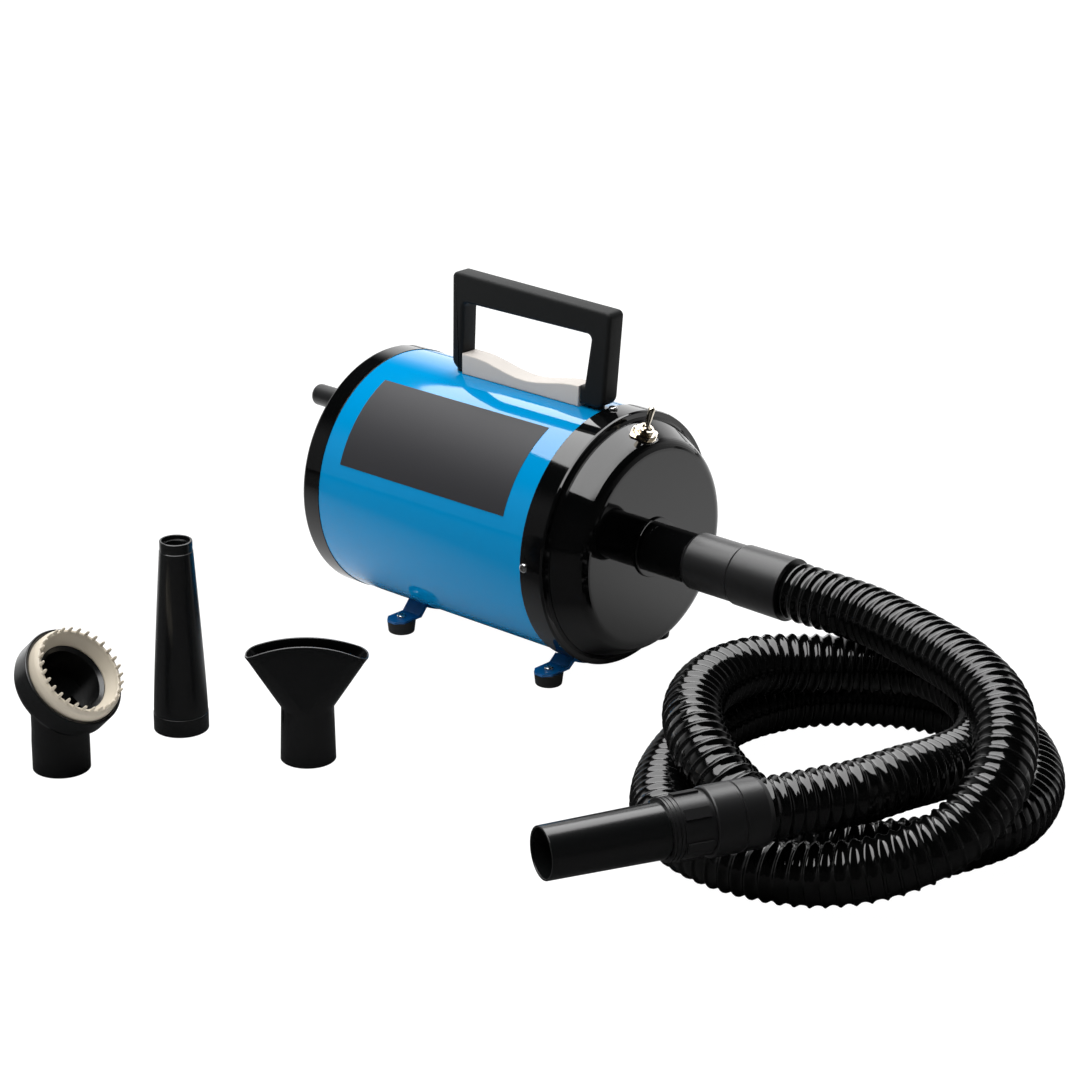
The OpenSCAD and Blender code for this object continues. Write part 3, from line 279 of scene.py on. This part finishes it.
# %% Rounded outlines, turned shapes and rounded prisms
def rounded_outline(corners, steps=6):
    """Each corner (a, b, radius) becomes an arc tangent to both of its sides."""
    c = np.asarray(corners, float)
    p, r = c[:, :2], c[:, 2:]
    back, ahead = np.roll(p, 1, 0) - p, np.roll(p, -1, 0) - p
    back /= np.linalg.norm(back, axis=1, keepdims=True)
    ahead /= np.linalg.norm(ahead, axis=1, keepdims=True)
    half = np.arccos(np.clip((back * ahead).sum(1, keepdims=True), -1, 1)) / 2
    bisector = (back + ahead) / np.linalg.norm(back + ahead, axis=1, keepdims=True)
    middle = p + bisector * r / np.sin(half)
    first, final = p + back * r / np.tan(half) - middle, p + ahead * r / np.tan(half) - middle
    a0 = np.arctan2(first[:, 1], first[:, 0])
    turn = (np.arctan2(final[:, 1], final[:, 0]) - a0 + np.pi) % (2 * np.pi) - np.pi
    a = a0[:, None] + turn[:, None] * np.linspace(0, 1, steps + 1)
    arcs = (middle[:, None] + r[:, None] * np.stack([np.cos(a), np.sin(a)], -1)).reshape(-1, 2)
    return arcs[np.linalg.norm(arcs - np.roll(arcs, 1, 0), axis=1) > 1e-6]


def turned(profile, sides):
    """Points (r cos a, r sin a, z) of a closed profile of r and z, turned about Z, and their faces."""
    profile = np.asarray(profile, float)
    a = 2 * np.pi * np.arange(sides) / sides
    r, z = profile[:, :1], profile[:, 1:]
    points = np.stack([r * np.cos(a), r * np.sin(a), z + 0 * a], -1)
    return points.reshape(-1, 3), grid_faces(len(profile), sides, close_rows=True)


FLAT_BORDER = 0.6


def rounded_prism(outline, half_width, edge_r, steps=5):
    """Outline in X and Z, from -half_width to half_width in Y, with a flat border inside its rounded rim.

    The rim is inset by edge_r (1 - sin t) where it is edge_r (1 - cos t) deep.
    """
    p = np.asarray(outline, float)
    side = np.roll(p, -1, 0) - p
    normal = np.stack([side[:, 1], -side[:, 0]], -1) / np.linalg.norm(side, axis=1, keepdims=True)
    before = np.roll(normal, 1, 0)
    miter = (normal + before) / (1 + (normal * before).sum(1, keepdims=True))
    t = np.linspace(0, np.pi / 2, steps + 1)
    inset = np.concatenate([[edge_r + FLAT_BORDER], edge_r * (1 - np.sin(t))])
    depth = np.concatenate([[0], edge_r * (1 - np.cos(t))])
    inset = np.concatenate([inset, inset[::-1]])
    y = np.concatenate([depth - half_width, (half_width - depth)[::-1]])
    ring = p[None] - miter[None] * inset[:, None, None]
    points = np.stack([ring[..., 0], 0 * ring[..., 0] + y[:, None], ring[..., 1]], -1)
    rows, n = points.shape[:2]
    faces = grid_faces(rows, n).tolist()
    faces += [list(range(n))[::-1], list(range((rows - 1) * n, rows * n))]
    return points.reshape(-1, 3), faces


def about_y(points, degrees):
    """Turned from Z toward X: x' = x cos + z sin, z' = z cos - x sin."""
    c, s = math.cos(math.radians(degrees)), math.sin(math.radians(degrees))
    return np.asarray(points, float) @ np.array([[c, 0, -s], [0, 1, 0], [s, 0, c]])


def about_z(points, degrees):
    """Turned from X toward Y: x' = x cos - y sin, y' = x sin + y cos."""
    c, s = math.cos(math.radians(degrees)), math.sin(math.radians(degrees))
    return np.asarray(points, float) @ np.array([[c, s, 0], [-s, c, 0], [0, 0, 1]])


PIECE_SLOTS = [(hose, "hose_plastic")]


def keep(piece, body, slot, *hidden_nodes):
    """Close the piece, let it ride on its body and stand in for the CAD nodes it replaces."""
    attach(merged(piece), body)
    if hidden_nodes:
        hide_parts(*hidden_nodes)
    PIECE_SLOTS.append((piece, slot))
    return piece


# %% [markdown]
# ## Handle and saddle
# The handle is one moulding with a generous radius on every long edge. Between its legs sits a pale
# block with a shallow dip for the fingers. Both are the same kind of shape: an outline in X and Z, a
# width in Y and a rounded rim.

# %% Handle and saddle
HANDLE = [(-36.3, 204.7, 0), (-36.3, 218.5, 0), (-34.9, 259.1, 4), (93.7, 260.3, 4), (87.3, 218.9, 0),
          (82.5, 218.5, 0), (82.5, 204.7, 0), (106.5, 204.7, 9), (112.3, 280.4, 4.5), (-46.7, 282.3, 4.5),
          (-47.0, 204.7, 8)]
HANDLE_HALF_WIDTH, HANDLE_RIM, SADDLE_RIM = 8.5, 2.8, 0.9
SADDLE_LEFT, SADDLE_RIGHT, SADDLE_TOP, SADDLE_FOOT, SADDLE_DIP = -36.2, 82.4, 218.3, 202.0, 7.3
dip_x = np.linspace(SADDLE_RIGHT - 2, SADDLE_LEFT + 10, 25)
dip_z = SADDLE_TOP - SADDLE_DIP * (1 - np.cos(np.linspace(0, 2 * np.pi, 25))) / 2
saddle = [(SADDLE_LEFT, SADDLE_FOOT, 0), (SADDLE_RIGHT, SADDLE_FOOT, 0), (SADDLE_RIGHT, SADDLE_TOP, 0),
          *[(x, z, 0) for x, z in zip(dip_x, dip_z)], (SADDLE_LEFT, SADDLE_TOP, 0)]
points, faces = rounded_prism(rounded_outline(HANDLE, 8), HANDLE_HALF_WIDTH, HANDLE_RIM)
keep(add_piece("handle_moulding", points, faces, sharp=40), "dryer", "handle_black", "handle")
points, faces = rounded_prism(rounded_outline(saddle), HANDLE_HALF_WIDTH, SADDLE_RIM)
keep(add_piece("saddle_block", points, faces, sharp=40), "dryer", "saddle_grey", "handle_saddle")

# %% [markdown]
# ## Toggle switch
# The switch stands square to the leaning side of the dome. Its bushing carries a fine thread above the
# hexagon nut, and the nut's corners are chamfered by a cone, which gives each flat its curved edge.

# %% Toggle bushing and nut
SWITCH_AT, SWITCH_LEAN = (139.7, 0.0, 191.7044), 28.0


def on_switch(points):
    """From the switch's own axis to the dryer."""
    return about_y(points, SWITCH_LEAN) + SWITCH_AT


def hex_nut(across, bore, foot, top, sides=72):
    """Hexagon of radius across / (2 cos a), cut by the cone r = across / 2 + 1.73 (top - z) - 0.2."""
    a = 2 * np.pi * np.arange(sides) / sides
    hexagon = across / 2 / np.cos((a + np.pi / 6) % (np.pi / 3) - np.pi / 6)
    z = np.array([foot, foot + 0.3, top - 1.2, top - 0.8, top - 0.5, top - 0.25, top, top, foot])
    r = np.minimum(hexagon, (across / 2 - 0.2 + 1.73 * (top - z))[:, None])
    r[0], r[-2], r[-1] = r[0] - 0.2, bore, bore
    points = np.stack([r * np.cos(a), r * np.sin(a), z[:, None] + 0 * a], -1)
    return points.reshape(-1, 3), grid_faces(len(z), sides, close_rows=True)


thread_z = np.arange(3.1, 6.0, 0.25)
thread = [(5.95 - 0.5 * (k % 2), z) for k, z in enumerate(thread_z)]
bushing = [(3.7, -4), (6, -4), (6, 3.0), *thread, (5.9, 6.1), (5.5, 6.4), (4.0, 6.4), (3.7, 6.1), (3.7, 5.6),
           (4.8, 5.5), (4.8, 3.3), (3.7, 3.2)]
points, faces = turned(bushing, 48)
keep(add_piece("threaded_bushing", on_switch(points), faces), "dryer", "nickel", "toggle_bushing")
points, faces = hex_nut(across=16.0, bore=6.02, foot=0.41, top=3.1)
keep(add_piece("chamfered_nut", on_switch(points), faces, sharp=25), "dryer", "nickel", "toggle_nut")

# %% [markdown]
# ## Cone nozzle
# A plain collar, a slim body that draws in a little faster at the top, and a short neck. Inside the neck
# is the step that a mould's core leaves.

# %% Cone nozzle
CONE_AT, CONE_R, CONE_H, NECK_Z, NECK_R, COLLAR_H = (-40.2, -306.4, 0.0), 20.1, 146.4, 138.6, 12.0, 13.5
NOZZLE_WALL = 1.6
t = np.linspace(0, 1, 25)
body_r = CONE_R - 0.3 - (CONE_R - NECK_R - 0.7) * t**1.2
body_z = COLLAR_H + 0.5 + (NECK_Z - COLLAR_H - 0.5) * t
cone = [(CONE_R - NOZZLE_WALL, 0, 0), (CONE_R, 0, 0.6), (CONE_R, COLLAR_H, 0.35),
        (body_r[0] - 0.2, COLLAR_H, 0), *[(r, z, 0) for r, z in zip(body_r, body_z)],
        (NECK_R, NECK_Z + 0.3, 0), (NECK_R, CONE_H, 0.7),
        (NECK_R - 1.7, CONE_H, 0.5), (NECK_R - 1.7, CONE_H - 3.4, 0.3), (NECK_R - 3.3, CONE_H - 3.4, 0.3),
        (NECK_R - 3.3, CONE_H - 8.0, 0),
        *[(r - NOZZLE_WALL, z, 0) for r, z in zip(body_r[-2::-1], body_z[-2::-1])],
        (CONE_R - NOZZLE_WALL, COLLAR_H - 2, 0)]
points, faces = turned(rounded_outline(cone, 4), 96)
keep(add_piece("cone_moulding", points + CONE_AT, faces, sharp=25), "cone", "nozzle_plastic", "cone_nozzle")

# %% [markdown]
# ## Flare nozzle
# The flare is a loft. Each level is a stadium, a circle cut in half and pulled apart, and with height its
# radius shrinks while its halves move away. The lips follow a big arch, so each column of the grid ends
# where its own straight line meets that arch.

# %% Flare nozzle
FLARE_AT, FLARE_TURN, FLARE_H, ARCH_R = (65.4, -281.0, 0.0), 41.0, 89.5, 102.0
BASE_TOP, BASE_R, SPREAD, LIP_R, SPREAD_Z = 41.0, 18.9, 47.5, 8.1, 56.5


def flare_columns(around=25, across=19):
    """Per column the share w of the spread and the angle a on its half circle, once round the stadium."""
    turn, slide = np.linspace(-np.pi / 2, np.pi / 2, around), np.linspace(1, -1, across + 2)[1:-1]
    w = np.concatenate([0 * turn + 1, slide, 0 * turn - 1, slide[::-1]])
    a = np.concatenate([turn, 0 * slide + np.pi / 2, turn + np.pi, 0 * slide - np.pi / 2])
    return w, a


def flare_surface(less, steps=10):
    """x = w spread t + r cos^p, y = r sin^p, z = base + height t, each column ending on the arch."""
    w, a = flare_columns()
    cos, sin = np.cos(a), np.sin(a)

    def at(t):
        r, power = BASE_R + t * (LIP_R - BASE_R) - less, 1 - 0.35 * t
        x = w * SPREAD * t + r * np.sign(cos) * np.abs(cos)**power
        return np.stack([x, r * np.sign(sin) * np.abs(sin)**power, BASE_TOP + SPREAD_Z * t], -1)

    low, high = 0 * a, 0 * a + 1.2
    for _ in range(40):
        middle = (low + high) / 2
        x, _, z = at(middle).T
        under = z < FLARE_H - ARCH_R + np.sqrt(ARCH_R**2 - x**2)
        low, high = np.where(under, middle, low), np.where(under, high, middle)
    return np.stack([at(low * k / steps) for k in range(steps + 1)])


def flare_moulding():
    """Base ring, outer loft, rounded lip and inner loft, in one closed grid."""
    outer, inner, a = flare_surface(0.0), flare_surface(NOZZLE_WALL), flare_columns()[1]

    def ring(r, z):
        return np.stack([r * np.cos(a), r * np.sin(a), z + 0 * a], -1)[None]

    out = outer[-1:] - inner[-1:]
    lip = [inner[-1:] + out * (0.5 + 0.5 * math.cos(u)) + np.array([0, 0, 0.45 * math.sin(u) - 0.45])
           for u in np.linspace(0.0, math.pi, 7)]
    rows = np.concatenate([
        ring(18.4, 0.0), ring(19.6, 0.0), ring(20.0, 0.4), ring(19.95, 2.0), ring(19.0, BASE_TOP - 0.6),
        outer[:-1], *lip, inner[-2::-1], ring(17.3, BASE_TOP - 1.5), ring(18.3, 0.5)])
    return about_z(rows.reshape(-1, 3), FLARE_TURN) + FLARE_AT, grid_faces(*rows.shape[:2], close_rows=True)


keep(add_piece("flare_moulding", *flare_moulding(), sharp=40), "flare", "nozzle_plastic", "flare_nozzle")

# %% [markdown]
# ## Comb ring
# A cream ring with a broad rounded rim sits in the brush head. On its inner edge stand thirty short
# fingers, each a tapered peg with a round end. One peg is built and then turned round the ring.

# %% Comb ring
BRUSH_AT, BRUSH_TURN, HEAD_Z, BRUSH_TILT = (-52.2, -410.5, 0.0), 7.6, 58.2, 45.0
FINGERS, RIM_TOP, FINGER_H = 30, 30.0, 5.2
FINGER_AT_R, FINGER_ACROSS, FINGER_ALONG = 32.0, 1.15, 1.35


def on_brush(points):
    """From the tilted head, where Z is the way the brush faces, to the dryer."""
    return about_z(about_y(points, BRUSH_TILT) + (0, 0, HEAD_Z), BRUSH_TURN) + BRUSH_AT


def finger_pegs():
    """Eight-sided elliptical pegs that grow slimmer with height and close over about the last 1 mm."""
    h = np.array([-1.0, 0, 1.5, 3.0, 4.1, 4.7, 5.05, FINGER_H])
    size = np.array([1.0, 1.0, 0.92, 0.84, 0.76, 0.62, 0.4, 0.1])
    sides, levels = 8, len(h)
    a = 2 * np.pi * np.arange(sides) / sides + np.pi / sides
    x = FINGER_AT_R + size[:, None] * FINGER_ACROSS * np.cos(a)
    y = size[:, None] * FINGER_ALONG * np.sin(a)
    peg = np.stack([x, y, RIM_TOP + h[:, None] + 0 * a], -1).reshape(-1, 3)
    foot, tip = range(sides), range((levels - 1) * sides, levels * sides)
    skin = grid_faces(levels, sides).tolist() + [list(foot)[::-1], list(tip)]
    points = np.concatenate([about_z(peg, 360 * k / FINGERS) for k in range(FINGERS)])
    return on_brush(points), [[v + len(peg) * k for v in face] for k in range(FINGERS) for face in skin]


ring = [(26.1, 13, 0), (35.4, 13, 0), (35.4, 21.6, 1.5), (34.7, 27.2, 3.5), (32.9, 30, 1.2), (30.9, 30, 1.0),
        (30.0, 27.6, 2.5), (26.1, 20.6, 0.6)]
points, faces = turned(rounded_outline(ring, 6), 96)
keep(add_piece("comb_ring", on_brush(points), faces, sharp=40), "brush", "comb_cream", "brush_ring")
keep(add_piece("comb_fingers", *finger_pegs(), sharp=60), "brush", "comb_cream")

# %% [markdown]
# ## Filter foam
# Behind the rear grille lies a disc of open foam. It is cut, not moulded, so its rim is square but soft,
# and its two faces swell a little where nothing presses on them.

# %% Filter foam
FOAM_X, FOAM_R, FOAM_T = -123.8, 61.3, 12.0
r = np.linspace(0, FOAM_R - 3, 16)
foam = [*[(x, 0.5 - 0.4 * (x / FOAM_R)**2, 0) for x in r], (FOAM_R, 0.1, 2.5), (FOAM_R, FOAM_T - 1.2, 2.5),
        *[(x, FOAM_T - 1.1 * (x / FOAM_R)**2, 0) for x in r[::-1]]]
points, faces = turned(rounded_outline(foam), 64)
foam = keep(add_piece("foam_disc", about_y(points, 90) + (FOAM_X, 0, AXIS_Z), faces),
            "dryer", "foam", "filter_foam")

# %% [markdown]
# ## Floor and light
# The dryer stands on seamless white. Gloss black shows only what it mirrors, so the light is built for
# its reflections: one long soft panel overhead, reaching from behind the dryer to the front left, a
# bright sweep of backdrop low down behind the set, and darkness on the camera's side. The floor is a stage
# trick too: the camera sees it glow white with a faint shadow, and only mirrors see it shaded.


# %% Shader trees
def node_tree(owner):
    """Empty node tree of a material, world or light."""
    owner.use_nodes = True
    owner.node_tree.nodes.clear()
    return owner.node_tree


def add_node(tree, kind, inputs=None, **settings):
    """One shader node with its settings; inputs maps socket names to values or to other sockets."""
    node = tree.nodes.new(kind)
    for name, value in settings.items():
        setattr(node, name, value)
    for name, value in (inputs or {}).items():
        if isinstance(value, bpy.types.NodeSocket):
            tree.links.new(value, node.inputs[name])
        else:
            node.inputs[name].default_value = value
    return node


BEHIND = np.array([-math.sin(VIEW_AZIMUTH), math.cos(VIEW_AZIMUTH), 0.0])


# %% Floor
FLOOR_HALF, FLOOR_SHADE, FLOOR_ALBEDO = 6000, 0.1, 0.8
MIRRORED_SHADE_SLOPE, MIRRORED_MIDDLE = (-1.07, 2.04, 0), 0.126
MIRRORED_DARKEST, MIRRORED_BRIGHTEST = 0.05, 0.64


def make_floor():
    """White for the camera; mirrors see painted shade, an albedo of middle + slope . place from darkest to
    brightest, darker toward the camera's side and paler behind.

    All other rays see an evenly pale sheet.
    """
    h = FLOOR_HALF
    floor = add_piece("floor", [(-h, -h, 0), (h, -h, 0), (h, h, 0), (-h, h, 0)], [(0, 1, 2, 3)])
    material = bpy.data.materials.new("floor_white")
    tree = node_tree(material)
    ray = add_node(tree, "ShaderNodeLightPath")
    place = add_node(tree, "ShaderNodeTexCoord")
    slope = add_node(tree, "ShaderNodeVectorMath", {0: place.outputs["Object"], 1: MIRRORED_SHADE_SLOPE},
                     operation="DOT_PRODUCT")
    # painted shade: mirrors see the floor darker toward the camera's side and paler behind, standing in for
    # how light falls on it
    fade = add_node(tree, "ShaderNodeMapRange", {
        "Value": slope.outputs["Value"], "To Min": MIRRORED_DARKEST, "To Max": MIRRORED_BRIGHTEST,
        "From Min": MIRRORED_DARKEST - MIRRORED_MIDDLE, "From Max": MIRRORED_BRIGHTEST - MIRRORED_MIDDLE})
    shade = add_node(tree, "ShaderNodeMix", {
        "Factor": ray.outputs["Is Glossy Ray"], "A": FLOOR_ALBEDO, "B": fade.outputs[0]})
    sheet = add_node(tree, "ShaderNodeBsdfDiffuse", {"Color": shade.outputs[0]})
    thin = add_node(tree, "ShaderNodeBsdfDiffuse", {"Color": (FLOOR_SHADE, FLOOR_SHADE, FLOOR_SHADE, 1)})
    white = add_node(tree, "ShaderNodeEmission", {"Color": (1, 1, 1, 1), "Strength": 1.0})
    seen = add_node(tree, "ShaderNodeAddShader", {0: white.outputs[0], 1: thin.outputs[0]})
    mix = add_node(tree, "ShaderNodeMixShader",
                   {0: ray.outputs["Is Camera Ray"], 1: sheet.outputs[0], 2: seen.outputs[0]})
    add_node(tree, "ShaderNodeOutputMaterial", {"Surface": mix.outputs[0]})
    floor.data.materials.append(material)


make_floor()


# %% Overhead panel
PANEL_AT, PANEL_ACROSS = (-510, -34, 2000), (0.970, 0.241, 0)
PANEL_WIDTH, PANEL_LENGTH, PANEL_RADIANCE = 2.0, 3.72, 6.0


def add_panel(name, at, across, width, length, radiance):
    """Level rectangle that shines down, width along across; its power in watts = radiance * pi * area."""
    data = bpy.data.lights.new(name, "AREA")
    data.shape, data.size, data.size_y = "RECTANGLE", width, length
    data.energy = radiance * math.pi * width * length
    panel = bpy.data.objects.new(name, data)
    bpy.context.scene.collection.objects.link(panel)
    matrix = np.eye(4)
    matrix[:3, :3] = np.column_stack([across, np.cross([0, 0, 1], across), [0, 0, 1]])
    matrix[:3, 3] = at
    panel.matrix_world = Matrix(matrix)


add_panel("overhead", placed(PANEL_AT), PANEL_ACROSS, PANEL_WIDTH, PANEL_LENGTH, PANEL_RADIANCE)


# %% Surround
SURROUND_DARK, SURROUND_SWEEP = 0.02, 1.68
SWEEP_FULL_TO, SWEEP_GONE_FROM = 0.35, 0.6
BACKDROP_WHITE = 1.05


def make_world():
    """White for the camera; otherwise (dark + sweep s^3) low(height of d), with s = (1 + d . behind) / 2."""
    world = bpy.data.worlds.new("surround")
    tree = node_tree(world)
    ray = add_node(tree, "ShaderNodeLightPath")
    toward = add_node(tree, "ShaderNodeTexCoord")
    dot = add_node(tree, "ShaderNodeVectorMath", {0: toward.outputs["Generated"], 1: BEHIND},
                   operation="DOT_PRODUCT")
    part = add_node(tree, "ShaderNodeSeparateXYZ", {0: toward.outputs["Generated"]})
    share = add_node(tree, "ShaderNodeMath", {0: dot.outputs["Value"], 1: 0.5, 2: 0.5},
                     operation="MULTIPLY_ADD")
    cube = add_node(tree, "ShaderNodeMath", {0: share.outputs[0], 1: 3.0}, operation="POWER")
    sweep = add_node(tree, "ShaderNodeMath", {0: cube.outputs[0], 1: SURROUND_SWEEP, 2: SURROUND_DARK},
                     operation="MULTIPLY_ADD")
    low = add_node(tree, "ShaderNodeMapRange", {
        "Value": part.outputs["Z"], "From Min": SWEEP_FULL_TO, "From Max": SWEEP_GONE_FROM,
        "To Min": 1.0, "To Max": 0.0}, interpolation_type="SMOOTHSTEP")
    strength = add_node(tree, "ShaderNodeMath", {0: sweep.outputs[0], 1: low.outputs[0]},
                        operation="MULTIPLY")
    dim = add_node(tree, "ShaderNodeBackground", {"Color": (1, 1, 1, 1), "Strength": strength.outputs[0]})
    white = add_node(tree, "ShaderNodeBackground", {"Color": (1, 1, 1, 1), "Strength": BACKDROP_WHITE})
    mix = add_node(tree, "ShaderNodeMixShader",
                   {0: ray.outputs["Is Camera Ray"], 1: dim.outputs[0], 2: white.outputs[0]})
    add_node(tree, "ShaderNodeOutputWorld", {"Surface": mix.outputs[0]})
    bpy.context.scene.world = world


make_world()
bpy.context.scene.view_settings.view_transform = "Standard"

# %% [markdown]
# ## Finishes
# Every finish is one principled shader with one colour, metalness and roughness all over. Only the handle
# and the foam also have a fine grain that bumps the surface: noise in object space, so it has real size.


# %% Finishes by name
def finish(name, colour, rough, metal=0.0, grain=0.0, grain_mm=1.0, coat=0.0, gloss=0.5):
    """Principled material; grain is the height of its bumps in millimetres and grain_mm their spacing."""
    material = bpy.data.materials.new(name)
    tree = node_tree(material)
    shader = add_node(tree, "ShaderNodeBsdfPrincipled", {
        "Base Color": (*colour, 1), "Roughness": rough, "Metallic": metal, "Specular IOR Level": gloss,
        "Coat Weight": coat, "Coat Roughness": 0.04})
    if grain:
        place = add_node(tree, "ShaderNodeTexCoord")
        noise = add_node(tree, "ShaderNodeTexNoise", {
            "Vector": place.outputs["Object"], "Scale": 1000 / grain_mm, "Detail": 3.0})
        bump = add_node(tree, "ShaderNodeBump", {
            "Height": noise.outputs["Fac"], "Strength": 1.0, "Distance": grain / 1000})
        tree.links.new(bump.outputs[0], shader.inputs["Normal"])
    add_node(tree, "ShaderNodeOutputMaterial", {"Surface": shader.outputs[0]})
    material.diffuse_color = (*colour, 1)
    return material


FINISHES = {
    "blue_paint": finish("blue_paint", (0.0, 0.19, 0.42), 0.5, coat=1.0, gloss=0.0),
    "gloss_black": finish("gloss_black", (0.0015, 0.0016, 0.0017), 0.05),
    "satin_black": finish("satin_black", (0.004, 0.004, 0.0045), 0.36),
    "label_charcoal": finish("label_charcoal", (0.02, 0.02, 0.0225), 0.45, gloss=0.3),
    "handle_black": finish("handle_black", (0.009, 0.0095, 0.0095), 0.5,
                           grain=0.03, grain_mm=1.2, gloss=0.13),
    "saddle_grey": finish("saddle_grey", (0.5, 0.465, 0.43), 0.55),
    "strap_blue": finish("strap_blue", (0.0, 0.08, 0.25), 0.35),
    "black_rubber": finish("black_rubber", (0.005, 0.005, 0.005), 0.6),
    "bright_steel": finish("bright_steel", (0.62, 0.62, 0.62), 0.22, metal=1.0),
    "nickel": finish("nickel", (0.66, 0.6, 0.5), 0.12, metal=1.0),
    "foam": finish("foam", (0.04, 0.04, 0.045), 0.95, grain=0.8, grain_mm=1.6, gloss=0.2),
    "zinc_sheet": finish("zinc_sheet", (0.5, 0.51, 0.52), 0.4, metal=1.0),
    "cast_aluminium": finish("cast_aluminium", (0.55, 0.55, 0.56), 0.45, metal=1.0),
    "laminations": finish("laminations", (0.2, 0.2, 0.2), 0.5, metal=1.0),
    "copper": finish("copper", (0.6, 0.25, 0.1), 0.3, metal=1.0),
    "brass": finish("brass", (0.7, 0.5, 0.2), 0.3, metal=1.0),
    "carbon": finish("carbon", (0.02, 0.02, 0.02), 0.6),
    "lead_insulation": finish("lead_insulation", (0.5, 0.1, 0.08), 0.5),
    "hose_plastic": finish("hose_plastic", (0.0015, 0.0016, 0.0016), 0.1),
    "cuff_plastic": finish("cuff_plastic", (0.007, 0.007, 0.0075), 0.36),
    "nozzle_plastic": finish("nozzle_plastic", (0.004, 0.0044, 0.0046), 0.22),
    "comb_cream": finish("comb_cream", (0.46, 0.41, 0.33), 0.42),
}

# %% Every CAD node gets the finish its record names
slot_of = {part["node"]: part["material_slot"] for part in frame["record"]["subparts"]}
for name, node in nodes.items():
    node.data.materials.clear()
    node.data.materials.append(FINISHES[slot_of[name]])
for piece, slot in PIECE_SLOTS:
    piece.data.materials.append(FINISHES[slot])
print(len(set(slot_of.values())), "finishes on", len(nodes), "nodes")
